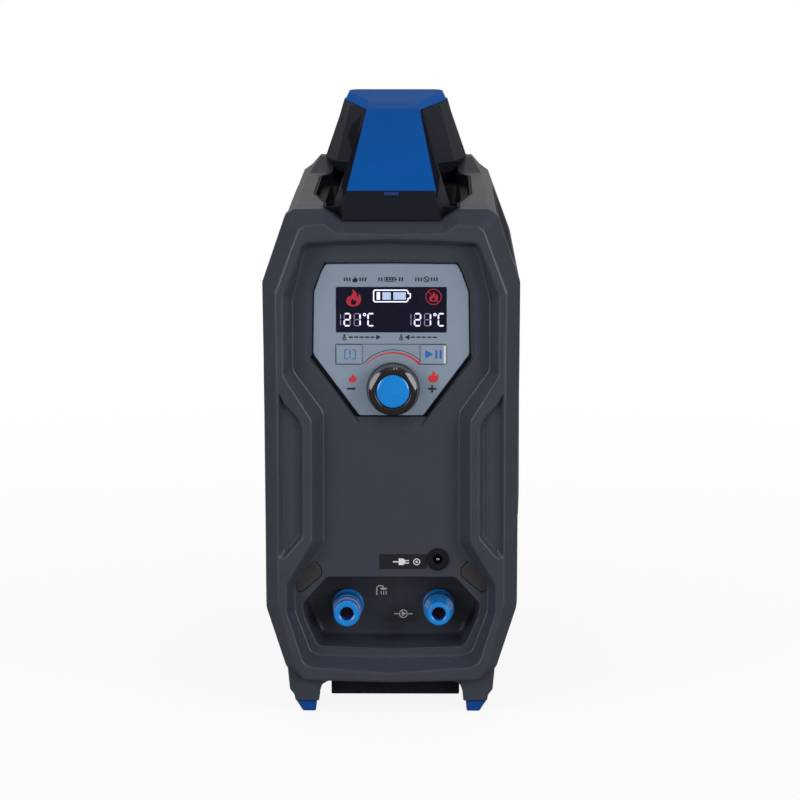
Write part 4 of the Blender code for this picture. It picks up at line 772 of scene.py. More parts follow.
def barbed(x, finish, word):
    """A hose fitting: flange, stepped and ringed body with dark bands of painted shade in its grooves,
    rounded nose and open bore.
    """
    profile = [(radius, FITTING_NOSE_Y + back) for radius, back in FITTING_STEPS[word] + FITTING_FLANGE]
    shape = turned(eased(profile, 0.3) + [profile[0]], x, FITTING_Z)
    piece(f"{word}_spigot", shape, finish["gloss_blue"], "gloss_blue", nodes=[f"{word}_fitting"])
    for number, (inner, outer, front, back) in enumerate(FITTING_SHADE_BANDS[word]):
        front += FITTING_NOSE_Y
        back += FITTING_NOSE_Y
        ring = [(inner, front), (outer, front), (outer, back), (inner, back), (inner, front)]
        band = turned(ring, x, FITTING_Z)
        piece(f"{word}_groove_{number}", band, finish["groove"], "gloss_blue")
    seal, middle, back, across, along = FITTING_SEALS[word]
    ring = [(middle + across * cos(tau * n / 14), FITTING_NOSE_Y + back + along * sin(tau * n / 14))
            for n in range(14)]
    piece(f"{word}_ring", turned(ring + ring[:1], x, FITTING_Z), finish[seal], seal, nodes=[f"{word}_seal"])


def power_socket(finish):
    """The pump's barrel socket with its collar and centre pin."""
    y = FACE_Y
    barrel = [(0, y + 10.8), (2.85, y + 10.8), (2.85, y - 1.4), (3.6, y - 2.3), (6.0, y - 2.3),
              (7.0, y - 1.3), (7.0, y - 0.02), (5.5, y - 0.02), (5.5, y + 13.0), (0, y + 13.0)]
    pin = [(0, y - 1.4), (0.9, y - 1.2), (1.1, y - 0.6), (1.1, y + 10.4), (2.0, y + 10.4), (2.0, y + 10.7),
           (0, y + 10.7)]
    piece("socket_barrel", turned(eased(barrel, 0.35), SOCKET_X, SOCKET_Z), finish["dark"], "black",
          nodes=["dc_socket"])
    piece("socket_pin", turned(eased(pin, 0.3), SOCKET_X, SOCKET_Z, sides=32), finish["steel"], "steel",
          nodes=["dc_pin"])


# ---------------------------------------------------------------- printed and lit marks


def stamped(outlines, y, proud):
    """A bmesh of thin marks: each flat (x, z) outline in mm stands a little proud of a depth y."""
    shape = bmesh.new()
    for outline in outlines:
        face = shape.faces.new([shape.verts.new((x * MM, y * MM, z * MM)) for x, z in outline])
        made = bmesh.ops.extrude_face_region(shape, geom=[face, *face.edges, *face.verts])
        fresh = [item for item in made["geom"] if isinstance(item, bmesh.types.BMVert)]
        bmesh.ops.translate(shape, verts=fresh, vec=(0, -proud * MM, 0))
    return shape


def mark(name, outlines, y, proud, finish, slot, body=HEATER):
    """A piece of flat marks that share a finish."""
    piece(name, stamped(outlines, y, proud), finish, slot, body=body, weighted=False)


def moved(outline, x, z, size=1.0):
    return [(x + a * size, z + b * size) for a, b in outline]


def block(x0, z0, x1, z1):
    return [(x0, z0), (x1, z0), (x1, z1), (x0, z1)]


def ring_points(radius, count):
    return [(radius * cos(tau * n / count), radius * sin(tau * n / count)) for n in range(count)]


def stroke(path, width, closed=False):
    """Quads of an even width along a path of (x, z) points."""
    points = [Vector(point) for point in path]
    count = len(points)
    sides = []
    for i, here in enumerate(points):
        before = points[i - 1] if closed or i else None
        after = points[(i + 1) % count] if closed or i + 1 < count else None
        into = (here - before).normalized() if before is not None else (after - here).normalized()
        out = (after - here).normalized() if after is not None else into
        normal = Vector((into.y + out.y, -into.x - out.x))
        normal *= width / 2 / max(0.3, 1 + into.dot(out))
        sides.append((here + normal, here - normal))
    last = count if closed else count - 1
    quads = []
    for i in range(last):
        (a, b), (c, d) = sides[i], sides[(i + 1) % count]
        quads.append([tuple(a), tuple(c), tuple(d), tuple(b)])
    return quads


def arc_band(radius, reach, thick_start, thick_end):
    """Quads of an arc above the knob's axis, as far as an angle in degrees to each side of the top."""
    quads = []
    steps = 48
    for n in range(steps):
        corners = []
        for t in (n / steps, (n + 1) / steps):
            angle = radians(reach * (2 * t - 1))
            half = (thick_start + (thick_end - thick_start) * t) / 2
            corners.append([(KNOB_X + (radius + part) * sin(angle), KNOB_Z + (radius + part) * cos(angle))
                            for part in (half, -half)])
        quads.append([corners[0][0], corners[1][0], corners[1][1], corners[0][1]])
    return quads


FLAME = [(-0.02, -0.50), (0.20, -0.47), (0.38, -0.33), (0.46, -0.10), (0.42, 0.12), (0.30, 0.28),
         (0.29, 0.12), (0.20, 0.04), (0.20, 0.26), (0.08, 0.42), (-0.08, 0.52), (-0.03, 0.32), (-0.14, 0.14),
         (-0.22, 0.02), (-0.24, 0.16), (-0.38, 0.00), (-0.44, -0.20), (-0.36, -0.38), (-0.20, -0.48)]
FLAME_HEART = [(0.00, -0.42), (0.14, -0.34), (0.18, -0.20), (0.08, -0.08), (0.02, -0.18), (-0.04, -0.02),
               (-0.14, -0.14), (-0.17, -0.28), (-0.10, -0.38)]
SEGMENTS = {
    "a": ((0, 2), (1, 2)), "b": ((1, 2), (1, 1)), "c": ((1, 1), (1, 0)), "d": ((0, 0), (1, 0)),
    "e": ((0, 0), (0, 1)), "f": ((0, 1), (0, 2)), "g": ((0, 1), (1, 1)),
}
DIGITS = {"1": "bc", "2": "abged", "C": "afed"}


def segment_bars(x, z, wide, high, keys, thick=0.9):
    """Six-sided bars of one display figure, whose lower left corner is at (x, z)."""
    bars = []
    for key in keys:
        start, end = (Vector((x + a * wide, z + b * high / 2)) for a, b in SEGMENTS[key])
        along = (end - start).normalized()
        across = Vector((-along.y, along.x)) * thick / 2
        start += along * 0.24
        end -= along * 0.24
        tip = along * thick / 2
        bars.append([tuple(point) for point in (start, start + tip + across, end - tip + across, end,
                                                end - tip - across, start + tip - across)])
    return bars


def reading(x, lit, dim):
    """A temperature of two figures, with its unlit hundreds place, degree ring and C."""
    z, high, wide = 244.5, 7.6, 3.7
    dim.extend(segment_bars(x, z, 0.0, high, "bc", 0.5))
    for figure, left in (("2", x + 2.3), ("1", x + 8.5)):
        lit.extend(segment_bars(left, z, wide, high, DIGITS[figure]))
        rest = [key for key in "abcdefg" if key not in DIGITS[figure]]
        dim.extend(segment_bars(left, z, wide, high, rest, 0.5))
    lit.extend(segment_bars(x + 17.2, z, wide, high, DIGITS["C"]))
    lit.extend(stroke(moved(ring_points(0.75, 12), x + 15.0, z + high - 0.6), 0.5, closed=True))


def display_marks(finish):
    """What the display shows: a flame, a battery with three cells, a barred sign and two readings."""
    lit, dim, red, dark = [], [], [], []
    case = [(-10.3, 266.9), (9.3, 266.9), (10.3, 266.3), (10.5, 265.0), (11.9, 264.5), (11.9, 262.1),
            (10.5, 261.6), (10.3, 260.3), (9.3, 259.6), (-10.3, 259.6), (-11.0, 260.3), (-11.0, 266.2)]
    lit.extend(stroke(case, 0.75, closed=True))
    lit.append(block(-9.1, 260.9, -7.0, 265.6))
    cells = [block(left, 260.9, right, 265.6) for left, right in ((-5.5, -0.3), (1.3, 9.1))]
    reading(-31.7, lit, dim)
    reading(12.3, lit, dim)
    for x, z, size in ((-23.6, 261.9, 10.6), (26.4, 262.7, 6.2)):
        red.append(moved(FLAME, x, z, size))
        dark.append(moved(FLAME_HEART, x, z, size))
    red.extend(stroke(moved(ring_points(4.8, 40), 26.4, 262.7), 0.5, closed=True))
    red.extend(stroke([(23.1, 266.0), (29.7, 259.4)], 0.5))
    for name, outlines, proud, surface in (
            ("lit", lit, LIT_PROUD, "lit_white"),
            ("cells", cells, LIT_PROUD, "lit_cell"),
            ("dim", dim, DIM_PROUD, "lit_dim"),
            ("red", red, LIT_PROUD, "lit_red"),
            ("hearts", dark, HEART_PROUD, "window")):
        mark(f"display_{name}", outlines, DISPLAY_Y, proud, finish[surface], "display")


def captions():
    """Small signs between bars above the display, and dashed arrows from a bulb below it."""
    marks = [moved(FLAME, -22.7, 273.6, 3.8)]
    marks += stroke(block(-4.0, 272.5, 2.4, 274.9), 0.5, closed=True)
    marks.append(block(2.7, 273.1, 3.5, 274.3))
    marks += [block(left, 273.0, left + 1.3, 274.4) for left in (-3.4, -1.6, 0.2)]
    marks += stroke(moved(ring_points(1.6, 24), 21.9, 273.7), 0.55, closed=True)
    marks += stroke([(20.8, 274.8), (23.0, 272.6)], 0.55)
    for middle, reach, bars in ((-22.7, 3.2, 3), (-0.4, 5.6, 2), (21.9, 3.2, 3)):
        for way in (-1, 1):
            for step in range(bars):
                left = middle + way * (reach + step * 1.7) - 0.4
                marks.append(block(left, 272.5, left + 0.9, 274.9))
    for x, dashes, tip, back in ((-29.4, 2.8, 23.0, -3.0), (6.2, 6.2, 2.2, 3.0)):
        marks += stroke(moved(ring_points(0.9, 16), x, 236.4), 0.6, closed=True)
        marks += stroke([(x, 237.2), (x, 239.2)], 0.9)
        for step in range(5):
            left = x + dashes + step * 3.4
            marks += stroke([(left, 237.3), (left + 2.5, 237.3)], 0.9)
        marks.append([(x + tip, 237.3), (x + tip + back, 238.9), (x + tip + back, 235.7)])
    return marks


def panel_marks(finish):
    """Printed pictograms, the strip's outline, the knob's two arcs, the signs on the keys, and a painted
    highlight on the start key's right edge.
    """
    dark = captions()
    for line in ([(-34.7, 220.2), (-34.7, 232.9), (34.7, 232.9)], [(18.8, 220.2), (33.4, 220.2)],
                 [(-34.7, 220.2), (-18.8, 220.2)]):
        dark += stroke(line, 0.4)
    dark += arc_band(24.3, 51, 0.4, 0.4)
    dark += [block(x - 2.6, 204.1, x + 2.6, 205.3) for x in (-25.2, 25.6)]
    dark += [block(25.0, low, 26.2, low + 1.6) for low in (202.4, 205.4)]
    red = arc_band(22.5, 49, 0.55, 1.4)
    red += [moved(FLAME, -24.3, 211.4, 5.6), moved(FLAME, 26.2, 212.4, 7.4)]
    mark("panel_print_dark", dark, PANEL_Y, PRINT_PROUD, finish["ink_dark"], "panel_grey")
    mark("panel_print_red", red, PANEL_Y, RED_PRINT_PROUD, finish["ink_red"], "panel_grey")
    power = [moved(ring_points(0.5, 12), -25.8, 224.8)] + stroke([(-25.8, 229.2), (-25.8, 226.0)], 0.75)
    bracket = [(1.2, 2.9), (2.9, 2.9), (3.3, 2.4), (3.3, -2.4), (2.9, -2.9), (1.2, -2.9)]
    for side in (-1, 1):
        power += stroke(moved([(side * x, z) for x, z in bracket], -25.8, 226.6), 0.55)
    mark("power_sign", power, KEY_Y, PRINT_PROUD, finish["ink_blue"], "key_grey", "power_key")
    play = [[(21.2, 223.9), (26.2, 226.6), (21.2, 229.3)]]
    play += [block(left, 223.9, left + 1.3, 229.3) for left in (27.6, 30.2)]
    mark("start_sign", play, KEY_Y, PRINT_PROUD, finish["ink_blue"], "key_grey", "start_key")
    # A pale bar on the start key's right edge: a painted highlight where its bevel catches the right lamp.
    strip = [block(32.9, 221.0, 34.1, 232.0)]
    mark("start_key_painted_highlight", strip, KEY_Y, PAINTED_HIGHLIGHT_PROUD, finish["white_ink_and_painted_highlight"], "key_grey", "start_key")


def labels(finish):
    """Bare dark label films with plain white pictograms, beside the socket and the hose fittings."""
    films = [
        ((-7.6, 90.6, 22.2, 100.1), FACE_Y, "label"),
        ((-17.8, 66.0, 2.9, 75.9), BAY_BACK_Y, "bay_label"),
        ((-2.4, 50.7, 17.2, 61.0), BAY_BACK_Y, "bay_label"),
    ]
    for number, (edges, y, surface) in enumerate(films):
        film = plate(rectangle(*edges, 0.8), y - FILM_PROUD, y - 0.01)
        piece(f"label_film_{number}", film, finish[surface], "black", weighted=False)
    plug = stroke([(1.0, 95.3), (4.6, 95.3)], 0.7)
    plug += [[(4.6, 93.2), (7.4, 93.2), (8.8, 94.2), (8.8, 96.4), (7.4, 97.4), (4.6, 97.4)]]
    plug += stroke([(8.8, 94.5), (11.2, 94.5)], 0.6) + stroke([(8.8, 96.1), (11.2, 96.1)], 0.6)
    plug += stroke(moved(ring_points(1.9, 20), 16.0, 95.3), 0.55, closed=True)
    plug += [moved(ring_points(0.7, 12), 16.0, 95.3)]
    white = finish["white_ink_and_painted_highlight"]
    mark("label_mark_plug", plug, FACE_Y - FILM_PROUD, LABEL_MARK_PROUD, white, "black")
    spray = stroke([(-9.6, 67.9), (-9.6, 72.6), (-8.4, 74.0), (-6.2, 74.0), (-5.2, 73.0)], 0.7)
    spray += [[(-7.4, 72.6), (-3.0, 72.6), (-3.6, 71.4), (-6.8, 71.4)]]
    for x in (-6.8, -5.2, -3.6):
        spray += stroke([(x, 70.6), (x, 68.2)], 0.45)
    pump = stroke(moved(ring_points(2.5, 24), 7.4, 55.8), 0.6, closed=True)
    pump += [[(6.3, 54.1), (9.3, 55.8), (6.3, 57.5)]]
    pump += stroke([(1.6, 55.8), (4.4, 55.8)], 0.7) + stroke([(10.4, 55.8), (13.2, 55.8)], 0.7)
    mark("label_marks_bay", spray + pump, BAY_BACK_Y - FILM_PROUD, LABEL_MARK_PROUD, white, "black")


# ---------------------------------------------------------------- panel, window, keys and knob


def rectangle(x0, z0, x1, z1, radius):
    return [(x0, z0, radius), (x1, z0, radius), (x1, z1, radius), (x0, z1, radius)]


def key_outline(side):
    x0, x1 = sorted((side * 18.3, side * 34.4))
    return rectangle(x0, 220.6, x1, 232.5, 0.7)


def control_panel(finish):
    """The grey panel, its dark window and the two keys."""
    sheet = plate(grown(both_sides(PANEL_EDGE), 0.4), PANEL_Y, PANEL_Y + 2.4, edge=1.0)
    face = as_object("panel_plate", sheet)
    window = rectangle(-34.5, 240.4, 34.5, 268.7, 0.6)
    wide = grown(window, 0.25)
    cutters = [hollow_cutter("opening", wide, window, PANEL_Y, PANEL_Y + 1, lip=0.3, through=True)]
    for side in (-1, 1):
        hole = grown(key_outline(side), 0.1)
        cutters.append(hollow_cutter("opening", hole, hole, PANEL_Y, PANEL_Y + 1, lip=0.15, through=True))
    cutters.append(drill(SPINDLE_HOLE, KNOB_X, KNOB_Z, -170, -160))
    combined(face, cutters)
    dressed(face, finish["panel"], "panel_grey", nodes=["control_panel"])
    pane = plate(rectangle(-34.3, 240.6, 34.3, 268.5, 0.6), DISPLAY_Y, PANEL_Y + 3.2, edge=0.15)
    piece("display_pane", pane, finish["window"], "display", nodes=["display_window"])
    for side, word in ((-1, "power"), (1, "start")):
        cap = plate(key_outline(side), KEY_Y, PANEL_Y + 4.2, edge=0.3)
        piece(f"{word}_cap", cap, finish["key"], "key_grey", body=f"{word}_key", nodes=[f"{word}_button"])
    display_marks(finish)
    panel_marks(finish)


def knob(finish, flat_reach):
    """The knob with three flats in its rim, the upper two with a pale painted reflection, two pale ticks,
    and the glossy domed cap in its nose.
    """
    base, nose = KNOB_BASE_Y, KNOB_NOSE_Y
    profile = [
        (0, nose + 2.2), (10.7, nose + 2.2), (10.7, nose + 0.5), (11.3, nose), (13.6, nose),
        (15.1, nose + 1.3), (16.1, base - 3.4), (16.7, base - 2.6), (16.8, base), (3.3, base),
        (3.3, base - 8), (0, base - 8),
    ]
    body = as_object("knob_body", turned(eased(profile, 0.6), 0, 0, sides=96))
    axis = Matrix.Translation((KNOB_X * MM, 0, KNOB_Z * MM))
    lens = [(6.2 * cos(pi * n / 24), 0.4 + 3.3 * sin(pi * n / 24)) for n in range(25)]
    cutters = []
    for angle, word in ((60, "right"), (-60, "left"), (180, None)):
        place = Matrix.Rotation(radians(angle), 4, "Y") @ Matrix.Translation((0, nose * MM, flat_reach * MM))
        place = place @ Matrix.Rotation(KNOB_FLAT_TILT, 4, "X")
        slab = plate(rectangle(-10, -3, 10, 7, 0.3), -6, 0)
        slab.transform(place)
        cutters.append(as_object("flat", slab))
        # The two upper flats get a pale film: a painted reflection of the front lamps.
        if word:
            painted_reflection = stamped([lens], 0.02, 0.06)
            painted_reflection.transform(axis @ place)
            piece(f"knob_flat_{word}", painted_reflection, finish["flat"], "knob_black", body="knob", weighted=False)
    combined(body, cutters)
    body.data.transform(axis)
    dressed(body, finish["knob"], "knob_black", body="knob", nodes=["control_knob"], smooth=28.0)
    bars = [block(KNOB_X + x - 0.3, KNOB_Z + 13.9, KNOB_X + x + 0.3, KNOB_Z + 15.0) for x in (0.7, 2.3)]
    mark("knob_ticks", bars, nose + 1.3, 1.3, finish["tick"], "knob_black", "knob")
    dome = [(10.3 * sin(pi / 2 * n / 9), nose + 0.55 - 1.55 * cos(pi / 2 * n / 9)) for n in range(10)]
    cap = turned(dome + [(10.3, nose + 1.9), (0, nose + 1.9)], KNOB_X, KNOB_Z, sides=72)
    piece("knob_button", cap, finish["cap"], "gloss_blue", body="knob", nodes=["knob_cap"])


# ---------------------------------------------------------------- handle, shells and the rest

ROUNDED_NODES = {
    # node: (new piece, finish, slot, radius in mm, least angle)
    "handle_core": ("grip_core", "dark", "black", 1.0, 14.0),
    "left_side_shell": ("shell_left", "shell", "charcoal", 1.2, 12.0),
    "right_side_shell": ("shell_right", "shell", "charcoal", 1.2, 12.0),
    "rear_frame": ("rear_bezel", "shell", "charcoal", 1.5, 12.0),
    "rear_panel": ("rear_face", "shell", "charcoal", 0.6, 20.0),
    "bottom_plate": ("belly_plate", "shell", "charcoal", 0.6, 20.0),
    "drip_tray": ("drip_pan", "dark", "black", 0.8, 20.0),
    "exhaust_grille_left": ("grille_left", "dark", "black", 0.7, 20.0),
    "exhaust_grille_right": ("grille_right", "dark", "black", 0.7, 20.0),
    **{f"foot_{spot}": (f"pad_{spot}", "foot", "foot_rubber", 0.8, 20.0)
       for spot in ("front_left", "front_right", "rear_left", "rear_right")},
}
# Nodes that keep their own shape, and their finishes
CAD_FINISHES = {
    "knob_spindle": "steel", "potentiometer": "dark", "cover_screw_left": "steel",
    "cover_screw_right": "steel", "gas_inlet": "brass", "chassis_plate": "zinc", "front_bracket": "zinc",
    "rear_bracket": "zinc", "burner": "steel", "combustion_jacket": "zinc", "heat_exchanger": "copper",
    "flue_hood": "zinc", "gas_valve": "valve", "gas_supply_pipe": "brass", "gas_manifold": "brass",
    "igniter_electrode": "ceramic", "flame_probe": "ceramic", "water_inlet_pipe": "copper",
    "water_outlet_pipe": "copper", "flow_sensor": "dark", "battery_pack": "cell", "control_board": "board",
    "display_board": "board",
}
WING_LOW = [(28.3, 79.8, 3), (41.0, 99.5, 3), (48.0, 133, 4), (48.0, 166.4, 3), (38.2, 177.4, 2)]
WING_HIGH = [(18.2, 44.4, 3), (30.6, 86.0, 3), (36.0, 126.8, 4), (36.0, 158.2, 3), (27.7, 170.2, 2)]
WELL_EDGE = [
    (42.7, -149.7, 1.5), (42.7, -127, 5), (51.2, -61, 5), (51.2, 75, 5), (42.7, 105, 5), (42.7, 149.7, 1.5),
]
WELL_PAN = [(20, -88, 1), (44, -88, 6), (44, -40, 1), (44, 40, 1), (44, 76, 6), (20, 76, 1)]


def handle(finish):
    """The blue cover with its rounded wing tips, its tab, and the facets of the rear housing."""
    cover = merged_copy("handle_cover")
    bevelled(cover, 4.6, 12.0, 5, where=lambda edge: max(abs(vert.co.x) for vert in edge.verts) > 0.030
             and abs(edge.verts[0].co.z - edge.verts[1].co.z) > 0.003)
    bevelled(cover, 1.3, 26.0, 4)
    bmesh.ops.dissolve_degenerate(cover, dist=1e-5, edges=cover.edges)
    piece("grip_cover", cover, finish["handle"], "blue", nodes=["handle_cover"], smooth=40.0)
    tab = plate(rectangle(-4.7, 326.0, 4.7, 328.2, 0.6), -163.2, -159.0, edge=0.3)
    piece("cover_tab", tab, finish["tab"], "blue")
    low = both_sides(WING_LOW)
    rows = [(low, 326.2, 0), (grown(low, -0.9), 327.4, 0), (both_sides(WING_HIGH), 365.9, 0)]
    piece("grip_housing", layered(rows, lay=lying), finish["housing"], "black")


def well_tray(finish):
    """The black well under the handle: a ledge all round and a rounded pan for the hand."""
    edge = both_sides(WELL_EDGE)
    wall = grown(edge, -1.7)
    pan = both_sides(WELL_PAN)
    rows = [
        (grown(pan, -6.0), 298.0, 0), (grown(pan, -1.5), 298.0, 4.0), (pan, 311.2, 1.2), (wall, 311.2, 1.0),
        (wall, 317.8, 0.4), (edge, 317.8, 0.4), (edge, 309.2, 0), (grown(pan, 2.0), 309.2, 0),
        (grown(pan, 0.5), 296.0, 2.0), (grown(pan, -6.0), 296.0, 0),
    ]
    piece("well_tray", layered(rows, lay=lying), finish["dark"], "black", nodes=["top_tray"])


def fuller(x, y, z):
    """How far a corner of the rounded pieces stands out sideways from its node, in metres."""
    if abs(x) > 0.045 and z > 0.3235:
        return 3.6 * MM
    if abs(x) > 0.064 and 0.025 < z < 0.26:
        return 1.6 * MM if z < 0.07 else 0.9 * MM
    return 0.0


def rounded_pieces(finish):
    """Pieces that keep their node's form and get rounded edges."""
    for node, (name, surface, slot, radius, angle) in ROUNDED_NODES.items():
        shape = merged_copy(node)
        for vert in shape.verts:
            vert.co.x += copysign(fuller(*vert.co), vert.co.x)
        bevelled(shape, radius, angle)
        bmesh.ops.dissolve_degenerate(shape, dist=1e-6, edges=shape.edges)
        piece(name, shape, finish[surface], slot, nodes=[node], smooth=30.0)


def carried_over(finish):
    """Nodes whose form is right as it is: each gets its finish."""
    for node, surface in CAD_FINISHES.items():
        obj = CAD_NODES[node]
        obj.data.materials.clear()
        obj.data.materials.append(finish[surface])


# ---------------------------------------------------------------- stage


def behind(build, place):
    """1 straight behind the heater and 0 off to the sides, above and in front, over places or directions."""
    heading = build.node("VectorMath", {"operation": "NORMALIZE"}, {"Vector": place})
    return build.step(build.node("SeparateXYZ", None, {"Vector": heading}, out=1), 0.90, 0.985)


def floor_finish(white, mirror, backdrop):
    """A pale floor that takes the heater's shadow near it and fades to white farther away."""
    build = Finish("pale floor")
    clouds = build.noise(3.0, 2.0)
    build.surface(base_color=build.mix(clouds, (0.80, 0.80, 0.80), (0.82, 0.82, 0.82)), roughness=0.9)
    place = build.place()
    distance = build.node("VectorMath", {"operation": "LENGTH"}, {"Vector": place}, out="Value")
    seen = white + build.step(distance, 0.25, 1.3) * (1.0 - white)
    straight = build.node("LightPath", out="Is Camera Ray")
    straight = straight + build.node("LightPath", out="Is Transmission Ray")
    mirrored = build.node("LightPath", out="Is Glossy Ray")
    level = straight + mirrored * (mirror + behind(build, place) * (backdrop - mirror))
    shine = build.node("Emission", None, {"Color": (1, 1, 1, 1), "Strength": level})
    factor = build.node("Clamp", None, {"Value": straight * seen + mirrored})
    shader = Socket(build.tree, build.shader.outputs[0])
    both = build.node("MixShader", None, {0: factor, 1: shader, 2: shine})
    build.feed(build.tree.nodes["Material Output"].inputs["Surface"], both)
    return build.material


def studio_world(look):
    """Even light all round, white to the camera; glossy faces mirror a bright backdrop and dark sides."""
    world = bpy.data.worlds.new("studio")
    bpy.context.scene.world = world
    world.use_nodes = True
    sky = Finish("", tree=world.node_tree)
    straight = sky.node("LightPath", out="Is Camera Ray") + sky.node("LightPath", out="Is Transmission Ray")
    mirrored = sky.node("LightPath", out="Is Glossy Ray")
    backdrop = look.backdrop_mirror - look.world_mirror
    mirror = look.world_mirror + behind(sky, sky.node("TexCoord", out="Generated")) * backdrop
    strength = straight + mirrored * mirror + (1.0 - straight - mirrored) * look.world_light
    background = world.node_tree.nodes["Background"]
    sky.feed(background.inputs["Color"], (1, 1, 1, 1))
    sky.feed(background.inputs["Strength"], strength)


def studio_light(name, place, aim, size, power, mirrored=True):
    data = bpy.data.lights.new(name, "AREA")
    data.shape = "RECTANGLE"
    data.size, data.size_y = size
    data.energy = power
    obj = bpy.data.objects.new(name, data)
    obj.location = place
    obj.rotation_euler = (Vector(aim) - Vector(place)).to_track_quat("-Z", "Y").to_euler()
    obj.visible_glossy = mirrored
    bpy.context.scene.collection.objects.link(obj)


def build_stage(look):
    """The pale floor, the world, five soft lamps and the camera."""
    scene = bpy.context.scene
    floor = bmesh.new()
    bmesh.ops.create_grid(floor, x_segments=1, y_segments=1, size=6.0)
    floor = as_object("floor", floor)
    floor.data.materials.append(floor_finish(look.floor_white, look.world_mirror, look.backdrop_mirror))
    studio_world(look)
    middle = (0, 0, 0.2)
    front = (0, -0.1, 0.2)
    studio_light("overhead", (0.0, 0.3, 2.2), middle, (2.0, 1.4), look.overhead, mirrored=False)
    studio_light("front left", (-1.9, -1.9, 0.9), front, (0.9, 1.6), look.front_fill * 0.9)
    studio_light("front right", (1.9, -1.9, 0.9), front, (0.9, 1.6), look.front_fill * 1.1)
    studio_light("edge", (0.0, -1.2, 2.6), front, (1.6, 0.12), look.edge_light)
    studio_light("back", (0.0, 2.4, 1.3), middle, (2.0, 1.4), look.back_fill, mirrored=False)
    camera = bpy.data.cameras.new("camera")
    camera.lens = CAMERA_LENS
    camera.sensor_width = CAMERA_SENSOR
    camera.clip_start = CAMERA_NEAR
    camera.clip_end = CAMERA_FAR
    seat = bpy.data.objects.new("camera", camera)
    seat.location = CAMERA_PLACE
    seat.rotation_euler = [radians(angle) for angle in CAMERA_TURN]
    scene.collection.objects.link(seat)
    scene.camera = seat
    scene.view_settings.view_transform = "Standard"


# ---------------------------------------------------------------- settings and operators


def colour(name, description, default):
    return FloatVectorProperty(name=name, description=description, subtype="COLOR", size=3, min=0.0, max=1.0,
                               default=default)


def amount(name, description, default, low=0.0, high=1.0, subtype="NONE"):
    return FloatProperty(name=name, description=description, default=default, min=low, max=high,
                         subtype=subtype)


def lamp_power(name, description, default):
    return FloatProperty(name=name, description=description, default=default, unit="POWER")


class HeaterLook(bpy.types.PropertyGroup):
    """What a user may change before building."""

    shell_colour: colour("Shell", "Base colour of the charcoal shells and frames", (0.036, 0.042, 0.060))
    dark_colour: colour("Dark parts", "Base colour of the black moulded parts", (0.007, 0.008, 0.014))
    handle_colour: colour("Handle", "Base colour of the handle's cover", (0.000, 0.092, 0.39))
    foot_colour: colour("Feet", "Base colour of the rubber feet", (0.003, 0.050, 0.24))
    gloss_colour: colour("Gloss blue", "Base colour of the fittings and the knob's cap", (0.002, 0.20, 0.60))
    panel_colour: colour("Panel", "Base colour of the control panel", (0.205, 0.262, 0.336))
    key_colour: colour("Keys", "Base colour of the two keys", (0.215, 0.272, 0.346))
    window_colour: colour("Window", "Base colour of the display's window", (0.003, 0.003, 0.016))
    knob_colour: colour("Knob", "Base colour of the knob", (0.015, 0.012, 0.012))
    cover_colour: colour("Screw caps", "Base colour of the caps over the screws", (0.031, 0.028, 0.031))
    lit_colour: colour("Lit segments", "Colour of the display's lit segments", (0.80, 0.80, 1.0))
    knob_flat: amount("Knob flats", "How far from its axis the knob's flats start, in mm", 12.2, 11.8, 14.0)
    world_light: amount("World light", "How much the world lights the heater", 0.50, 0.0, 2.0)
    world_mirror: amount("World in gloss", "How bright the world is in glossy surfaces", 0.10)
    backdrop_mirror: amount("Backdrop in gloss", "How bright the backdrop is in glossy surfaces", 0.60)
    floor_white: amount("Floor white", "How white the floor is to the camera", 0.90, subtype="FACTOR")
    overhead: lamp_power("Overhead lamp", "Power of the lamp above", 0.2)
    front_fill: lamp_power("Front lamps", "Power of each front lamp", 27.0)
    edge_light: lamp_power("Edge lamp", "Power of the narrow lamp that lines the upper edges", 4.0)
    back_fill: lamp_power("Back lamp", "Power of the lamp behind", 8.0)


class HeaterOperator(bpy.types.Operator):
    """Shared way in for the heater's builders."""

    bl_options = {"REGISTER", "UNDO"}

    def execute(self, context):
        look = context.scene.heater_look
        self.build(look, HeaterFinishes(look))
        return {"FINISHED"}


class HEATER_OT_front_frame(HeaterOperator):
    """Build the front frame with its rails and legs"""

    bl_idname = "heater.front_frame"
    bl_label = "Front frame"

    def build(self, look, finish):
        front_frame(finish)


class HEATER_OT_fascia(HeaterOperator):
    """Build the recessed face and the caps over its screws"""

    bl_idname = "heater.fascia"
    bl_label = "Fascia"

    def build(self, look, finish):
        fascia(finish)


class HEATER_OT_connections(HeaterOperator):
    """Build the connection bay, the hose fittings, the pump's socket and their labels"""

    bl_idname = "heater.connections"
    bl_label = "Connections"

    def build(self, look, finish):
        bay(finish)
        barbed(SHOWER_X, finish, "shower")
        barbed(PUMP_X, finish, "pump")
        power_socket(finish)
        labels(finish)


class HEATER_OT_control_panel(HeaterOperator):
    """Build the control panel, its display, its keys and its marks"""

    bl_idname = "heater.control_panel"
    bl_label = "Control panel"

    def build(self, look, finish):
        control_panel(finish)


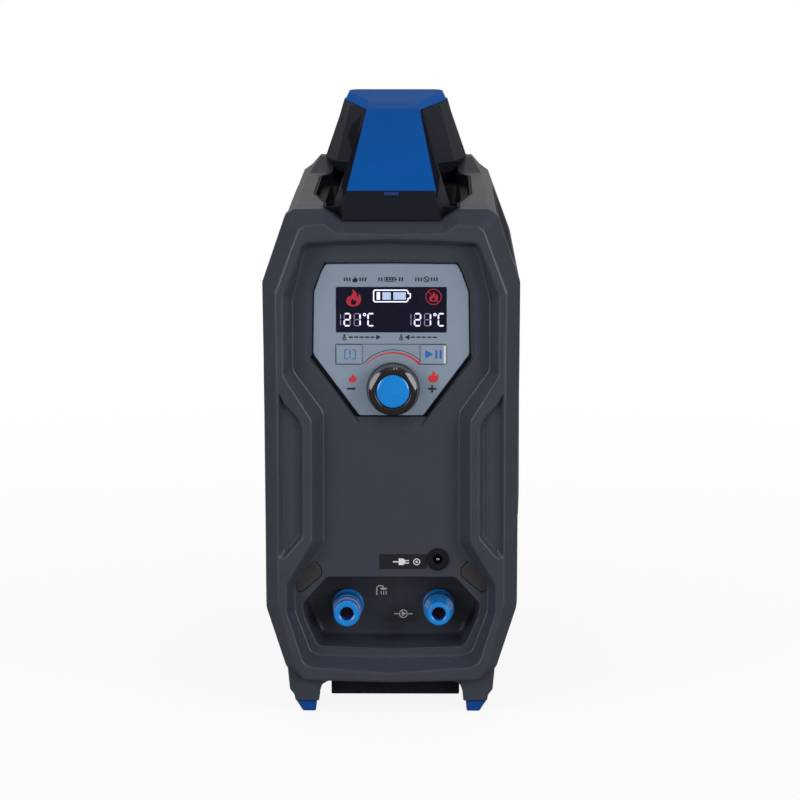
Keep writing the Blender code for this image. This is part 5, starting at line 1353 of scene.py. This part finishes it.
class HEATER_OT_knob(HeaterOperator):
    """Build the knob and its cap"""

    bl_idname = "heater.knob"
    bl_label = "Knob"

    def build(self, look, finish):
        knob(finish, look.knob_flat)


class HEATER_OT_housing(HeaterOperator):
    """Build the handle, the shells, the tray, the rear and the feet"""

    bl_idname = "heater.housing"
    bl_label = "Housing and handle"

    def build(self, look, finish):
        rounded_pieces(finish)
        handle(finish)
        well_tray(finish)


class HEATER_OT_inner_parts(HeaterOperator):
    """Give the parts inside the heater their finishes"""

    bl_idname = "heater.inner_parts"
    bl_label = "Inner parts"

    def build(self, look, finish):
        carried_over(finish)


class HEATER_OT_stage(HeaterOperator):
    """Build the floor, the lamps, the world and the camera"""

    bl_idname = "heater.stage"
    bl_label = "Stage"

    def build(self, look, finish):
        build_stage(look)


STEPS = (
    HEATER_OT_front_frame, HEATER_OT_fascia, HEATER_OT_connections, HEATER_OT_control_panel, HEATER_OT_knob,
    HEATER_OT_housing, HEATER_OT_inner_parts, HEATER_OT_stage,
)


class HEATER_PT_sidebar(bpy.types.Panel):
    """The heater's settings and its builders"""

    bl_label = "Heater"
    bl_space_type = "VIEW_3D"
    bl_region_type = "UI"
    bl_category = "Heater"

    def draw(self, context):
        look = context.scene.heater_look
        for key in look.__annotations__:
            self.layout.prop(look, key)
        for step in STEPS:
            self.layout.operator(step.bl_idname)


CLASSES = (HeaterLook, *STEPS, HEATER_PT_sidebar)


def register():
    for cls in CLASSES:
        bpy.utils.register_class(cls)
    bpy.types.Scene.heater_look = PointerProperty(type=HeaterLook)


def unregister():
    del bpy.types.Scene.heater_look
    for cls in reversed(CLASSES):
        bpy.utils.unregister_class(cls)


def main():
    for obj in list(bpy.context.scene.objects):
        if body_of(obj) is None and obj not in frame["bodies"].values():
            bpy.data.objects.remove(obj)
    register()
    bpy.ops.heater.front_frame()
    bpy.ops.heater.fascia()
    bpy.ops.heater.connections()
    bpy.ops.heater.control_panel()
    bpy.ops.heater.knob()
    bpy.ops.heater.housing()
    bpy.ops.heater.inner_parts()
    bpy.ops.heater.stage()


if __name__ == "__main__":
    main()
